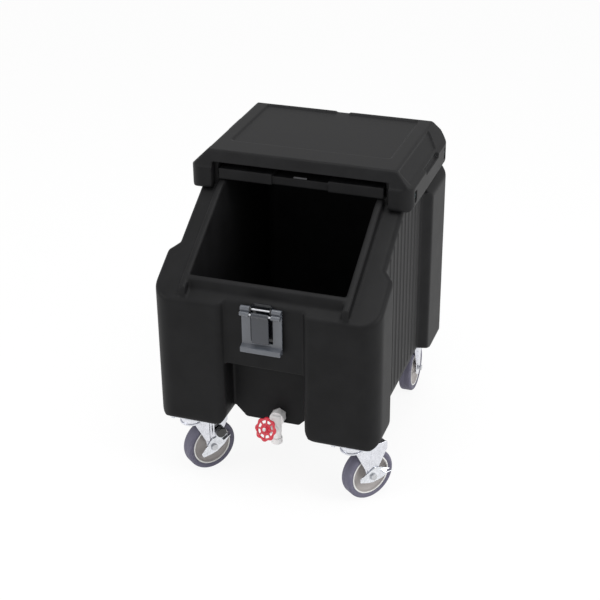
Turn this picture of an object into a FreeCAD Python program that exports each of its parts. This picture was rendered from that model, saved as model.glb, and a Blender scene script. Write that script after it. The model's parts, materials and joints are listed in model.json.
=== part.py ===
import FreeCAD, Part
import os
from math import atan2, cos, degrees, hypot, pi, radians, sin, sqrt, tan

# A mobile ice bin in millimetres: +Z up, the front towards -Y, the origin on the
# floor under the middle of the whole object.

# Overall size
bin_width = 538.0
bin_depth = 645.0
bin_height = 743.0
half_width = bin_width / 2
front_y = -bin_depth / 2
back_y = bin_depth / 2

# General clearances
overrun = 5.0
full_turn = 360.0
hexagon_sides = 6
seat_gap = 0.3
slide_gap = 2.0

# Castor sizes that the body stands on
castor_height = 165.0
wheel_diameter = 127.0
wheel_width = 32.0

# Corner columns
foot_z = castor_height
column_width = 174.0
front_column_depth = 142.5
rear_column_depth = 200.5
column_proud_side = 22.0
column_proud_front = 14.0
column_proud_back = 14.5
column_corner_radius = 50.0
rear_corner_radius = 60.0
column_inner_radius = 16.0
column_edge_radius = 13.0
foot_inner_radius = 38.0
foot_outer_radius = 22.0
foot_front_radius = 15.0
front_foot_length = 92.0
rear_foot_start = 84.0
rear_foot_length = 82.0
rear_foot_rise = 30.0
rear_column_drop = 25.0
shoulder_drop = 16.0

# Tub between the columns
belly_z = 200.0
keel_z = 168.0
keel_half = 65.0
keel_top_half = 96.0
keel_edge_radius = 6.0
tub_corner_radius = 20.0
recess_depth = 61.0
recess_top = 334.0
panel_lip_radius = 6.0
side_half = half_width - column_proud_side
panel_y = front_y + column_proud_front
tub_back_y = back_y - column_proud_back
recess_y = front_y + recess_depth
column_inner_x = half_width - column_width

# Sloping mouth with its rails
slope_angle = 31.0
rail_height = 24.0
rail_width = 17.0
rail_edge_radius = 3.5
rail_end_inset = 7.0
rail_end_radius = 10.0
rail_bend_radius = 100.0
bend_from_back = 376.5
bend_y = back_y - bend_from_back
rail_drop = 71.0
rail_z = bin_height - rail_drop
wall_width = 86.0
opening_half = half_width - wall_width
sill_inset = 43.5
sill_y = front_y + sill_inset
sill_width = 14.0
slope = tan(radians(slope_angle))
rail_outer = opening_half + rail_width
deck_edge_z = rail_z - (bend_y - panel_y) * slope - rail_height

# Side ribs between the columns
rib_count = 9
rib_width = 7.0
rib_proud = 1.8
rib_foot = 14.0
rib_top_drop = 13.0

# Neck that carries the hood
neck_foot_drop = 19.0
neck_z = rail_z - neck_foot_drop
rear_column_top = neck_z - rear_column_drop
rib_top = neck_z - rib_top_drop
neck_top_drop = 31.0
neck_top = bin_height - neck_top_drop
neck_inset = 9.0
neck_front_y = bend_y + neck_inset
neck_back_inset = 38.5
neck_back_y = back_y - neck_back_inset
neck_corner_radius = 30.0
neck_half = side_half - slide_gap

# Well
well_floor = 228.0
front_wall = 100.5
well_front_y = front_y + front_wall
back_wall = 72.5
well_back_y = back_y - back_wall
well_lip_drop = 22.0
well_slope_drop = 242.0
well_slope_foot = rail_z - well_slope_drop
well_corner_radius = 22.0
sump_half = 60.0
sump_z = 176.0
sump_length = 150.0
sump_corner_radius = 14.0

# Foam core
skin = 7.0
wall_seam_y = 0.0
foam_corner_radius = 14.0

# Rear hand hold
grip_half = 75.0
grip_drop = 183.0
grip_z = neck_z - grip_drop
grip_height = 52.0
grip_depth = 30.0
grip_radius = 12.0

# Lid
lid_length = 292.0
lid_thick = 27.0
lid_lap = 1.0
lid_half = rail_outer + lid_lap
lid_rebate_depth = 17.5
lid_front_shoe = 10.0
lid_rear_shoe = 17.0
lid_edge_radius = 4.0
lid_block_inner = 68.0
lid_centre_inset = 6.0
lid_centre_drop = 6.0
lid_centre_length = 60.0
lid_foam_inset = 29.0
lid_foam_half = lid_half - lid_foam_inset
lid_foam_thick = 13.0
lid_foam_margin = 66.0
lid_foam_skin = 7.0
keeper_half = 16.0
keeper_length = 8.0
keeper_proud = 5.0
keeper_edge_radius = 1.2
keeper_screw_radius = 2.0
keeper_root = 4.0

# Hood
hood_front_top_reach = 5.0
hood_front_top_y = neck_front_y - hood_front_top_reach
hood_front_reach = 21.0
hood_front_y = neck_front_y - hood_front_reach
beam_reach = 15.0
beam_front_y = neck_front_y - beam_reach
beam_depth = 15.0
beam_drop = 28.0
beam_z = bin_height - beam_drop
hood_back_inset = 20.5
hood_back_y = back_y - hood_back_inset
hood_back_slant = 14.0
hood_back_top_y = hood_back_y - hood_back_slant
hood_bevel_width = 43.0
hood_plateau_half = half_width - hood_bevel_width
hood_bevel_radius = 8.0
hood_edge_radius = 6.0
hood_bevel_drop = 41.0
belt_top_z = bin_height - hood_bevel_drop
belt_lift = 3.0
belt_proud = 7.0
belt_front_proud = 3.0
belt_radius = 2.0
hood_skirt_z = neck_z + slide_gap
hood_corner_radius = 50.0
hood_front_radius = 30.0
hood_thick = 19.0
hood_ceiling = bin_height - hood_thick
ear_width = 56.0
ear_inner = half_width - ear_width
ear_drop = 1.0
ear_radius = 10.0
top_recess_inset = 31.0
top_recess_half = hood_plateau_half - top_recess_inset
top_recess_front_inset = 68.5
top_recess_front = hood_front_top_y + top_recess_front_inset
top_recess_back_inset = 12.0
top_recess_back = hood_back_top_y - top_recess_back_inset
top_recess_depth = 3.5
top_recess_radius = 10.0
rear_notch_half = 17.0
bevel_panel_front_inset = 12.0
bevel_panel_front = hood_front_top_y + bevel_panel_front_inset
bevel_panel_back_inset = 56.0
bevel_panel_back = hood_back_top_y - bevel_panel_back_inset
bevel_panel_slant = 38.0
bevel_panel_width = 40.0
bevel_panel_depth = 3.0
bevel_panel_radius = 4.0
finger_slot_length = 118.0
finger_slot_inset = 48.0
finger_slot_back = bevel_panel_back - finger_slot_inset
finger_slot_front = finger_slot_back - finger_slot_length
finger_slot_height = 9.0
finger_slot_depth = 9.0
hood_foam_inset = 42.0
hood_foam_half = hood_plateau_half - hood_foam_inset
hood_foam_front_inset = 76.0
hood_foam_front = hood_front_top_y + hood_foam_front_inset
hood_foam_back_inset = 26.0
hood_foam_back = hood_back_top_y - hood_foam_back_inset
hood_foam_thick = 7.5
hood_foam_lift = 4.0

# Hood bolts
hood_bolt_front_inset = 18.0
hood_bolt_front = neck_front_y + hood_bolt_front_inset
hood_bolt_back_inset = 34.0
hood_bolt_back = neck_back_y - hood_bolt_back_inset
hood_bolt_rise = 25.0
hood_bolt_z = neck_z + hood_bolt_rise
hood_bolt_radius = 4.0
hood_bolt_length = 34.0
hood_bolt_head_radius = 6.5
hood_bolt_head = 5.0
hood_bolt_socket_radius = 3.0
hood_bolt_socket_depth = 3.0
hood_pocket_width = 17.0
hood_pocket_height = 28.0
hood_pocket_depth = 8.0
hood_pocket_radius = 5.0

# Latch
latch_half = 47.5
latch_base_half = 44.0
latch_pivot_drop = 4.1
latch_pivot_z = deck_edge_z - latch_pivot_drop
latch_low_drop = 109.0
latch_low = latch_pivot_z - latch_low_drop
latch_high_drop = 3.0
latch_high = latch_pivot_z - latch_high_drop
latch_tab_half = 21.0
latch_tab_rise = 11.0
latch_tab_top = latch_pivot_z + latch_tab_rise
latch_plate = 4.0
latch_corner_radius = 4.0
latch_lug = 3.6
latch_lug_gap = 0.5
latch_pivot_out = 12.0
latch_barrel_radius = 6.5
latch_lug_round_share = 0.9
latch_pin_radius = 2.5
latch_fit = 0.05
lever_gap = 0.7
lever_thick = 5.5
lever_arm_inner = 26.0
lever_low_gap = 3.0
lever_low = latch_low + lever_low_gap
lever_bar = 23.0
lever_bar_top = lever_low + lever_bar
lever_ledge = 14.5
lever_ledge_drop = 5.0
lever_ledge_top = lever_bar_top - lever_ledge_drop
lever_ledge_face = 6.0
lever_ledge_front = lever_ledge_top - lever_ledge_face
lever_round = 2.0
strap_pin_drop = 10.5
strap_pin_out = 7.5
strap_knuckle_radius = 5.5
strap_half = 20.0
strap_length = 70.0
strap_thick = 5.0
strap_hook = 5.0
strap_hook_drop = 7.0
strap_tip = 3.0
latch_screw_in = 7.0
latch_screw_drop = 21.0
latch_screw_radius = 2.0
latch_screw_length = 10.0
latch_screw_head_radius = 3.6
latch_screw_head = 0.6

# Drain
drain_x = 18.0
drain_z = 190.0
drain_bore = 5.5
drain_pipe_radius = 8.5
drain_flange_radius = 13.0
drain_flange = 3.0
washer_thick = 2.0
washer_radius = 13.0
drain_nut_radius = 17.5
drain_nut_thick = 9.0
valve_out = 22.5
valve_collar_radius = 17.5
valve_collar = 14.5
valve_collar_round = 2.5
valve_radius = 12.0
valve_rise = 13.0
valve_round = 4.0
stem_drop = 23.0
stem_azimuth = 16.0
stem_rise = 23.0
stem_reach = 46.0
valve_bore = 7.0
spout_radius = 11.0
spout_thread_radius = 13.4
spout_thread_length = 14.0
spout_low = 128.0
bonnet_radius = 10.0
bonnet_length = 11.0
bonnet_start = 18.4
bonnet_collar_radius = 12.5
bonnet_collar = 5.0
gland_radius = 6.5
gland_length = 6.0
stem_radius = 4.0
stem_fit = 0.05
disc_radius = 7.0
disc_thick = 4.0
disc_start = 3.0
disc_sleeve_radius = 6.0
disc_sleeve = 6.0
disc_web = 1.0
disc_room = 0.6
disc_travel = 6.0
wheel_rim_radius = 24.5
wheel_rim_tube = 3.2
wheel_lobes = 8
wheel_lobe_radius = 4.6
wheel_hub_radius = 7.5
wheel_hub_length = 10.0
wheel_spokes = 8
wheel_spoke_width = 3.6
wheel_spoke_thick = 3.0
wheel_web_radius = 12.0
wheel_web_tube = 2.2
wheel_screw_radius = 2.4
wheel_screw_head_radius = 4.5
wheel_screw_head = 2.4
wheel_screw_round = 0.8
wheel_screw_length = 9.0

# Drain shelf
shelf_margin = 9.0
shelf_thick = 5.0
shelf_foot = 6.0
shelf_foot_radius = 9.0
shelf_foot_inset = 26.0
shelf_hole_radius = 7.0
shelf_hole_pitch = 34.0
shelf_hole_margin = 30.0
shelf_corner_radius = 20.0

# Castors
front_castor_side_inset = 70.0
front_castor_x = half_width - front_castor_side_inset
front_castor_inset = 42.5
front_castor_y = front_y + front_castor_inset
rear_castor_side_inset = 71.0
rear_castor_x = half_width - rear_castor_side_inset
rear_castor_inset = 63.5
rear_castor_y = back_y - rear_castor_inset
castor_angle = 52.0
rear_castor_angle = 90.0
castor_trail = 45.0
wheel_radius = wheel_diameter / 2
tyre_inner_radius = 50.0
tyre_crown = 2.5
tyre_shoulder = 6.0
tyre_lip = 3.0
core_hub_radius = 15.0
core_web = 9.0
core_rim = 5.0
core_rim_half = 14.0
core_dish_radius = 6.0
core_hub_half = 17.5
bush_radius = 9.0
bush_half = 17.7
axle_radius = 5.0
axle_fit = 0.05
axle_head = 4.5
axle_head_radius = 8.5
fork_gap = 2.4
fork_thick = 3.0
fork_crown = 4.0
fork_crown_radius = 27.0
fork_crown_z = 146.0
fork_top_front = 50.0
fork_top_back = 42.0
fork_shoulder = 20.0
fork_foot_radius = 18.0
fork_foot_round_share = 0.8
fork_rib_radius = 4.0
fork_rib_front = 12.5
fork_rib_inset = 22.0
plate_length = 92.0
plate_width = 56.0
plate_thick = 4.0
plate_corner_radius = 9.0
race_radius = 22.0
race_seat_radius = 16.0
race_cup = 7.0
race_ball_radius = 2.2
kingpin_radius = 6.0
kingpin_fit = 0.05
kingpin_head_radius = 10.0
kingpin_head = 4.0
castor_bolt_pitch_x = 75.0
castor_bolt_pitch_y = 39.0
castor_bolt_radius = 4.0
castor_bolt_head = 5.0
castor_bolt_head_radius = 6.5
castor_bolt_length = 24.0
brake_thick = 3.0
brake_reach = 48.0
brake_tail = 36.0
brake_tail_half = 5.5
brake_shoulder = 13.0
brake_hump_along = 7.0
brake_hump = 23.0
brake_arm_along = 26.0
brake_arm_high = 16.0
brake_arm_low = 14.0
brake_belly = 17.0
brake_tip_half = 4.5
brake_tip_round = 2.0
brake_pedal_out = 9.0
brake_pedal_length = 22.0
brake_gap = 0.5
brake_left_angle = 27.0
brake_right_angle = 2.0
brake_tab_half = 7.0
brake_knob_radius = 13.0
brake_knob_length = 11.0
brake_knob_round = 2.8
brake_knob_along = 33.0
brake_knob_high = 27.0
brake_stud_radius = 3.0


def vec(x, y, z):
    """Return a vector."""
    return FreeCAD.Vector(x, y, z)


X_AXIS = vec(1, 0, 0)
Y_AXIS = vec(0, 1, 0)
Z_AXIS = vec(0, 0, 1)
ORIGIN = vec(0, 0, 0)


def in_plane(plane, a, b):
    """Place a flat point (a, b) in the XY, YZ or XZ plane."""
    if plane == "XY":
        return vec(a, b, 0)
    if plane == "YZ":
        return vec(0, a, b)
    return vec(a, 0, b)


def rounded_face(plane, points):
    """Make a face from corners (a, b, radius), each corner rounded by a tangent arc."""
    count = len(points)
    ends = []
    for i in range(count):
        ax, ay, _ = points[i - 1]
        px, py, r = points[i]
        bx, by, _ = points[(i + 1) % count]
        la = hypot(ax - px, ay - py)
        lb = hypot(bx - px, by - py)
        ua = ((ax - px) / la, (ay - py) / la)
        ub = ((bx - px) / lb, (by - py) / lb)
        if r == 0:
            ends.append(((px, py), None, (px, py)))
            continue
        dot = ua[0] * ub[0] + ua[1] * ub[1]
        half = sqrt((1 - dot) / 2)
        tangent = r * sqrt(1 - half * half) / half
        start = (px + ua[0] * tangent, py + ua[1] * tangent)
        end = (px + ub[0] * tangent, py + ub[1] * tangent)
        mid = (ua[0] + ub[0], ua[1] + ub[1])
        size = hypot(mid[0], mid[1])
        reach = r / half - r
        top = (px + mid[0] / size * reach, py + mid[1] / size * reach)
        ends.append((start, top, end))
    edges = []
    for i in range(count):
        start, top, end = ends[i]
        if top is not None:
            arc = Part.Arc(in_plane(plane, *start), in_plane(plane, *top), in_plane(plane, *end))
            edges.append(arc.toShape())
        following = ends[(i + 1) % count][0]
        if hypot(following[0] - end[0], following[1] - end[1]) > Part.Precision.confusion():
            edges.append(Part.makeLine(in_plane(plane, *end), in_plane(plane, *following)))
    return Part.Face(Part.Wire(edges))


def prism_z(points, low, high):
    """Extrude a rounded XY outline from z low to z high."""
    face = rounded_face("XY", points)
    face.translate(vec(0, 0, low))
    return face.extrude(vec(0, 0, high - low))


def prism_x(points, low, high):
    """Extrude a rounded YZ outline from x low to x high."""
    face = rounded_face("YZ", points)
    face.translate(vec(low, 0, 0))
    return face.extrude(vec(high - low, 0, 0))


def prism_y(points, low, high):
    """Extrude a rounded XZ outline from y low to y high."""
    face = rounded_face("XZ", points)
    face.translate(vec(0, low, 0))
    return face.extrude(vec(0, high - low, 0))


def rectangle(a0, a1, b0, b1, r):
    """Return the corners of a rectangle, all rounded alike."""
    return [(a0, b0, r), (a1, b0, r), (a1, b1, r), (a0, b1, r)]


def block(x0, x1, y0, y1, z0, z1):
    """Return a box between six faces."""
    return Part.makeBox(x1 - x0, y1 - y0, z1 - z0, vec(x0, y0, z0))


def rod(base, axis, radius, length):
    """Return a cylinder that starts at base and runs along axis."""
    return Part.makeCylinder(radius, length, base, axis)


def tube(base, axis, outer, inner, length):
    """Return a hollow cylinder."""
    hole = rod(base - axis * overrun, axis, inner, length + overrun * 2)
    return rod(base, axis, outer, length).cut(hole)


def fuse(shapes):
    """Join solids into one and merge the faces that line up."""
    joined = shapes[0]
    for shape in shapes[1:]:
        joined = joined.fuse(shape)
    return joined.removeSplitter()


def mirror_x(shape):
    """Return the copy of a shape on the other side of the middle."""
    return shape.mirror(ORIGIN, X_AXIS)


def both_sides(shape):
    """Return a shape and its mirror copy."""
    return [shape, mirror_x(shape)]


def round_edges(shape, radius, wanted):
    """Round the edges whose middle point the test accepts."""
    chosen = []
    for edge in shape.Edges:
        middle = edge.valueAt((edge.FirstParameter + edge.LastParameter) / 2)
        if wanted(middle):
            chosen.append(edge)
    return shape.makeFillet(radius, chosen)


def rail_top(y):
    """Return the height of the rails' top line in front of their bend."""
    return rail_z - (bend_y - y) * slope


def deck(y):
    """Return the height of the body's sloping deck beside the rails."""
    return rail_top(y) - rail_height


def on_deck(point):
    """Say whether a point lies on the sloping deck."""
    return abs(point.z - deck(point.y)) < seat_gap


def above_deck(lift):
    """Return everything above the sloping deck, lifted by a height."""
    near = front_y - overrun
    top = bin_height + overrun
    side = half_width + overrun
    return prism_x(
        [
            (near, deck(near) + lift, 0),
            (neck_front_y, deck(neck_front_y) + lift, 0),
            (neck_front_y, top, 0),
            (near, top, 0),
        ],
        -side,
        side,
    )


# Bin body


def front_column():
    """Return the right front column, rounded all over."""
    back = front_y + front_column_depth
    foot_end = front_y + front_foot_length
    near = front_y
    chamfer = column_proud_side
    plan = prism_z(
        [
            (column_inner_x, back, 0),
            (column_inner_x, near, column_inner_radius),
            (half_width, near, column_corner_radius),
            (half_width, back - chamfer, column_inner_radius),
            (side_half, back, 0),
        ],
        foot_z,
        bin_height,
    )
    front_view = prism_y(
        [
            (column_inner_x, bin_height, 0),
            (column_inner_x, foot_z, foot_inner_radius),
            (half_width, foot_z, foot_outer_radius),
            (half_width, bin_height, 0),
        ],
        near,
        back,
    )
    side_view = prism_x(
        [
            (near, foot_z, foot_front_radius),
            (near, deck(near), column_edge_radius),
            (back, deck(back), 0),
            (back, belly_z, 0),
            (foot_end, foot_z, foot_outer_radius),
        ],
        column_inner_x,
        half_width,
    )
    column = plan.common(front_view).common(side_view)
    return round_edges(
        column,
        column_edge_radius,
        lambda p: on_deck(p) and p.x > side_half and p.y > near + column_corner_radius,
    )


def rear_column():
    """Return the right rear column with its sloping shoulder."""
    front = back_y - rear_column_depth
    chamfer = column_proud_side
    foot_start = front + rear_foot_start
    foot_end = foot_start + rear_foot_length
    shoulder_z = rear_column_top - shoulder_drop
    plan = prism_z(
        [
            (column_inner_x, front, 0),
            (side_half, front, 0),
            (half_width, front + chamfer, column_inner_radius),
            (half_width, back_y, rear_corner_radius),
            (column_inner_x, back_y, column_inner_radius),
        ],
        foot_z,
        rear_column_top,
    )
    front_view = prism_y(
        [
            (column_inner_x, rear_column_top, 0),
            (column_inner_x, foot_z, foot_inner_radius),
            (half_width, foot_z, foot_outer_radius),
            (half_width, shoulder_z, column_edge_radius),
            (side_half, rear_column_top, 0),
        ],
        front,
        back_y,
    )
    side_view = prism_x(
        [
            (front, belly_z, 0),
            (foot_start, foot_z, foot_outer_radius),
            (foot_end, foot_z, foot_outer_radius),
            (back_y, foot_z + rear_foot_rise, column_edge_radius),
            (back_y, shoulder_z, column_edge_radius),
            (tub_back_y, rear_column_top, 0),
            (front + chamfer, rear_column_top, 0),
            (front, shoulder_z, 0),
        ],
        column_inner_x,
        half_width,
    )
    return plan.common(front_view).common(side_view)


def tub():
    """Return the tub between the columns, with the recess under the latch panel."""
    shell = prism_z(
        rectangle(-side_half, side_half, panel_y, tub_back_y, tub_corner_radius),
        belly_z,
        neck_z,
    )
    shell = shell.cut(above_deck(0))
    shell = round_edges(
        shell,
        column_edge_radius,
        lambda p: on_deck(p) and (abs(p.x) > rail_outer or p.y < sill_y),
    )
    side = column_inner_x + overrun
    recess = prism_x(
        [
            (panel_y - overrun, recess_top, 0),
            (panel_y - overrun, belly_z - overrun, 0),
            (recess_y, belly_z - overrun, 0),
            (recess_y, recess_top, panel_lip_radius),
        ],
        -side,
        side,
    )
    return shell.cut(recess)


def keel():
    """Return the low middle of the tub's underside."""
    return prism_y(
        [
            (-keel_top_half, belly_z + overrun, 0),
            (-keel_top_half, belly_z, 0),
            (-keel_half, keel_z, keel_edge_radius),
            (keel_half, keel_z, keel_edge_radius),
            (keel_top_half, belly_z, 0),
            (keel_top_half, belly_z + overrun, 0),
        ],
        recess_y,
        tub_back_y,
    )


def rail():
    """Return the right rail: up the slope, round its bend and back under the hood."""
    near = front_y + rail_end_inset
    root = rail_height * 2
    rail_solid = prism_x(
        [
            (near, rail_top(near) - root, 0),
            (near, rail_top(near), rail_end_radius),
            (bend_y, rail_z, rail_bend_radius),
            (well_back_y, rail_z, 0),
            (well_back_y, rail_z - root, 0),
            (bend_y, rail_z - root, 0),
        ],
        opening_half,
        rail_outer,
    )
    return round_edges(
        rail_solid,
        rail_edge_radius,
        lambda p: near < p.y < well_back_y and p.z > rail_top(min(p.y, bend_y)) - rail_height / 2,
    )


def sill():
    """Return the cross bar that closes the rails' frame over the front wall."""
    near = sill_y - sill_width
    root = rail_height * 2
    bar = prism_x(
        [
            (near, rail_top(near) - root, 0),
            (near, rail_top(near), rail_edge_radius),
            (sill_y, rail_top(sill_y), rail_edge_radius),
            (sill_y, rail_top(sill_y) - root, 0),
        ],
        -opening_half,
        opening_half,
    )
    return bar


def neck():
    """Return the upper walls under the hood."""
    return prism_z(
        [
            (-neck_half, neck_front_y, 0),
            (neck_half, neck_front_y, 0),
            (neck_half, neck_back_y, neck_corner_radius),
            (-neck_half, neck_back_y, neck_corner_radius),
        ],
        neck_z - overrun,
        neck_top,
    )


def side_ribs():
    """Return the upright ribs on the right side wall between the columns."""
    start = front_y + front_column_depth
    pitch = (back_y - rear_column_depth - start) / (rib_count + 1)
    ribs = []
    for i in range(rib_count):
        y = start + pitch * (i + 1)
        top = min(rib_top, deck(y - rib_width) - rib_foot)
        low = belly_z + rib_foot
        rib = prism_z(
            [
                (side_half - rib_proud, y - rib_width, 0),
                (side_half + rib_proud, y - rib_width / 2, rib_proud / 2),
                (side_half + rib_proud, y + rib_width / 2, rib_proud / 2),
                (side_half - rib_proud, y + rib_width, 0),
            ],
            low,
            top,
        )
        ribs.append(rib)
    return ribs


def well(grow):
    """Return the space of the well with its sump, grown on every side."""
    top = bin_height + overrun
    wide = opening_half + grow
    sill_back = sill_y - grow
    lip = rail_top(sill_y) - well_lip_drop
    hollow = prism_x(
        [
            (sill_back, top, 0),
            (sill_back, lip, well_corner_radius),
            (well_front_y - grow, well_slope_foot, well_corner_radius),
            (well_front_y - grow, well_floor - grow, well_corner_radius),
            (well_back_y + grow, well_floor - grow, well_corner_radius),
            (well_back_y + grow, top, 0),
        ],
        -wide,
        wide,
    )
    plan = prism_z(
        rectangle(-wide, wide, sill_back, well_back_y + grow, well_corner_radius),
        well_floor - grow,
        top,
    )
    sump = prism_z(
        rectangle(
            -sump_half - grow,
            sump_half + grow,
            well_front_y - grow,
            well_front_y + sump_length + grow,
            sump_corner_radius,
        ),
        sump_z - grow,
        well_floor + overrun,
    )
    return hollow.common(plan).fuse(sump)


def lid_pocket():
    """Return the space that the lid slides back into, between the neck's cheeks."""
    return block(
        -rail_outer - slide_gap,
        rail_outer + slide_gap,
        neck_front_y - overrun,
        well_back_y,
        rail_z,
        bin_height,
    )


def foam_space():
    """Return the foam core: the tub's inside, less the well and its skin."""
    near = recess_y + skin
    upper_near = panel_y + skin
    top = neck_z - skin * 2
    side = neck_half - skin
    back = tub_back_y - skin
    core = prism_x(
        [
            (near, belly_z + skin, 0),
            (near, recess_top + skin, 0),
            (upper_near, recess_top + skin, 0),
            (upper_near, deck(upper_near) - skin * 2, 0),
            (neck_front_y, deck(neck_front_y) - skin * 2, 0),
            (back, top, 0),
            (back, belly_z + skin, 0),
        ],
        -side,
        side,
    )
    plan = prism_z(
        rectangle(-side, side, upper_near, back, foam_corner_radius),
        belly_z,
        bin_height,
    )
    return core.common(plan).cut(well(skin)).cut(rear_grip(skin))


def rear_grip(grow):
    """Return the space of the hand hold in the back wall, grown on every side."""
    return prism_z(
        rectangle(
            -grip_half - grow,
            grip_half + grow,
            tub_back_y - grip_depth - grow,
            tub_back_y + grip_depth,
            grip_radius,
        ),
        grip_z - grow,
        grip_z + grip_height + grow,
    )


def castor_spots():
    """Return the centre of each castor with its name."""
    return [
        ("front_left", -front_castor_x, front_castor_y),
        ("front_right", front_castor_x, front_castor_y),
        ("rear_left", -rear_castor_x, rear_castor_y),
        ("rear_right", rear_castor_x, rear_castor_y),
    ]


def castor_bolt_spots(x, y):
    """Return the four bolt centres of a castor's top plate."""
    centre = vec(x, y, foot_z)
    across = X_AXIS * castor_bolt_pitch_x / 2
    along = Y_AXIS * castor_bolt_pitch_y / 2
    return [centre + across * side + along * end for side in (-1, 1) for end in (-1, 1)]


def body_holes():
    """Return every drilled hole in the body."""
    holes = []
    for _, x, y in castor_spots():
        for spot in castor_bolt_spots(x, y):
            depth = castor_bolt_length - plate_thick + seat_gap
            holes.append(rod(spot - Z_AXIS * overrun, Z_AXIS, castor_bolt_radius, depth + overrun))
    for spot in latch_screw_spots():
        start = spot - Y_AXIS * overrun
        holes.append(rod(start, Y_AXIS, latch_screw_radius, latch_screw_length + overrun - latch_plate))
    drain = vec(drain_x, recess_y - overrun, drain_z)
    holes.append(rod(drain, Y_AXIS, drain_pipe_radius, well_front_y - recess_y + overrun * 2))
    for y in (hood_bolt_front, hood_bolt_back):
        depth = hood_bolt_length - hood_skirt_left() + seat_gap
        hole = rod(vec(neck_half + overrun, y, hood_bolt_z), -X_AXIS, hood_bolt_radius, depth + overrun)
        holes.extend(both_sides(hole))
    return holes


def bin_body(foam):
    """Return the moulded bin: tub, columns, rails, neck and well in one piece."""
    parts = [tub(), keel()]
    parts.extend(both_sides(front_column()))
    parts.extend(both_sides(rear_column()))
    parts.append(neck())
    solid = fuse(parts)
    for rib in side_ribs():
        for copy in both_sides(rib):
            solid = solid.fuse(copy)
    solid = solid.cut(well(0)).cut(lid_pocket())
    solid = fuse([solid] + both_sides(rail()) + [sill()])
    for cut in [rear_grip(0), foam] + body_holes():
        solid = solid.cut(cut)
    return solid


def sump_space():
    """Return the block that holds the sump, from under the keel to the well's floor."""
    reach = sump_half + skin
    near = well_front_y - skin
    return block(-reach, reach, near, near + sump_length + skin * 2, keel_z - overrun, well_floor)


def hand_hold_space():
    """Return the block that holds the cup of the rear hand hold."""
    reach = grip_half + skin
    return block(
        -reach,
        reach,
        tub_back_y - grip_depth - skin,
        tub_back_y,
        grip_z - skin,
        grip_z + grip_height + skin,
    )


def base_space():
    """Return everything below the well's floor."""
    side = half_width + overrun
    return block(-side, side, front_y - overrun, back_y + overrun, 0, well_floor)


def rear_space():
    """Return everything behind the seam between the walls' halves."""
    side = half_width + overrun
    return block(-side, side, wall_seam_y, back_y + overrun, 0, bin_height)


def bin_blocks(foam):
    """Return the bin cut into touching blocks: walls, base, sump and hand hold."""
    solid = bin_body(foam)
    rest = solid.cut(sump_space()).cut(hand_hold_space())
    walls = rest.cut(base_space())
    return {
        "bin_body": walls.cut(rear_space()),
        "bin_rear": walls.common(rear_space()),
        "bin_base": rest.common(base_space()),
        "drain_sump": solid.common(sump_space()),
        "hand_hold": solid.common(hand_hold_space()),
    }


# Hood


def hood_skirt_left():
    """Return the skirt's thickness that is left behind a bolt's pocket."""
    return half_width - hood_pocket_depth - neck_half


def hood_side_profile(near, low, edge_radius):
    """Return the hood's outline seen from the side."""
    ear_low = deck(near) + ear_drop
    return [
        (hood_front_top_y, bin_height, edge_radius),
        (near + belt_front_proud, belt_top_z + belt_lift, belt_radius),
        (near, belt_top_z, belt_radius),
        (near, ear_low, ear_radius),
        (neck_front_y + (hood_skirt_z - deck(neck_front_y)) / slope, low, 0),
        (hood_back_y, low, 0),
        (hood_back_y, belt_top_z, belt_radius),
        (hood_back_y - belt_front_proud, belt_top_z + belt_lift, belt_radius),
        (hood_back_top_y, bin_height, edge_radius),
    ]


def hood_outer():
    """Return the hood's outer form before it is hollowed."""
    right = [
        (half_width, hood_skirt_z - rail_height, 0),
        (half_width, belt_top_z, belt_radius),
        (half_width - belt_proud, belt_top_z + belt_lift, belt_radius),
        (hood_plateau_half, bin_height, hood_bevel_radius),
    ]
    left = [(-x, z, radius) for x, z, radius in reversed(right)]
    across = prism_y(
        right + left,
        hood_front_y,
        hood_back_y,
    )
    along = prism_x(
        hood_side_profile(hood_front_y, hood_skirt_z, hood_edge_radius),
        -half_width,
        half_width,
    )
    plan = prism_z(
        [
            (-half_width, hood_front_y, hood_front_radius),
            (half_width, hood_front_y, hood_front_radius),
            (half_width, hood_back_y, hood_corner_radius),
            (-half_width, hood_back_y, hood_corner_radius),
        ],
        hood_skirt_z - rail_height * 2,
        bin_height,
    )
    return across.common(along).common(plan)


def hood_inside():
    """Return the spaces under the hood: over the neck, over the lid and between the ears."""
    neck_room = prism_z(
        [
            (-neck_half - seat_gap, neck_front_y - seat_gap, 0),
            (neck_half + seat_gap, neck_front_y - seat_gap, 0),
            (neck_half + seat_gap, neck_back_y + seat_gap, neck_corner_radius),
            (-neck_half - seat_gap, neck_back_y + seat_gap, neck_corner_radius),
        ],
        hood_skirt_z - rail_height,
        neck_top,
    )
    lid_room = block(
        -rail_outer - slide_gap,
        rail_outer + slide_gap,
        beam_front_y + beam_depth,
        well_back_y,
        neck_top - overrun,
        hood_ceiling,
    )
    between_ears = prism_x(
        [
            (hood_front_y - overrun, neck_z - rail_height * 2, 0),
            (neck_front_y + overrun, neck_z - rail_height * 2, 0),
            (neck_front_y + overrun, beam_z, 0),
            (beam_front_y, beam_z, 0),
            (hood_front_top_y, bin_height, 0),
            (hood_front_top_y, bin_height + overrun, 0),
            (hood_front_y - overrun, bin_height + overrun, 0),
        ],
        -ear_inner,
        ear_inner,
    )
    return neck_room.fuse(lid_room).fuse(between_ears)


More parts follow.
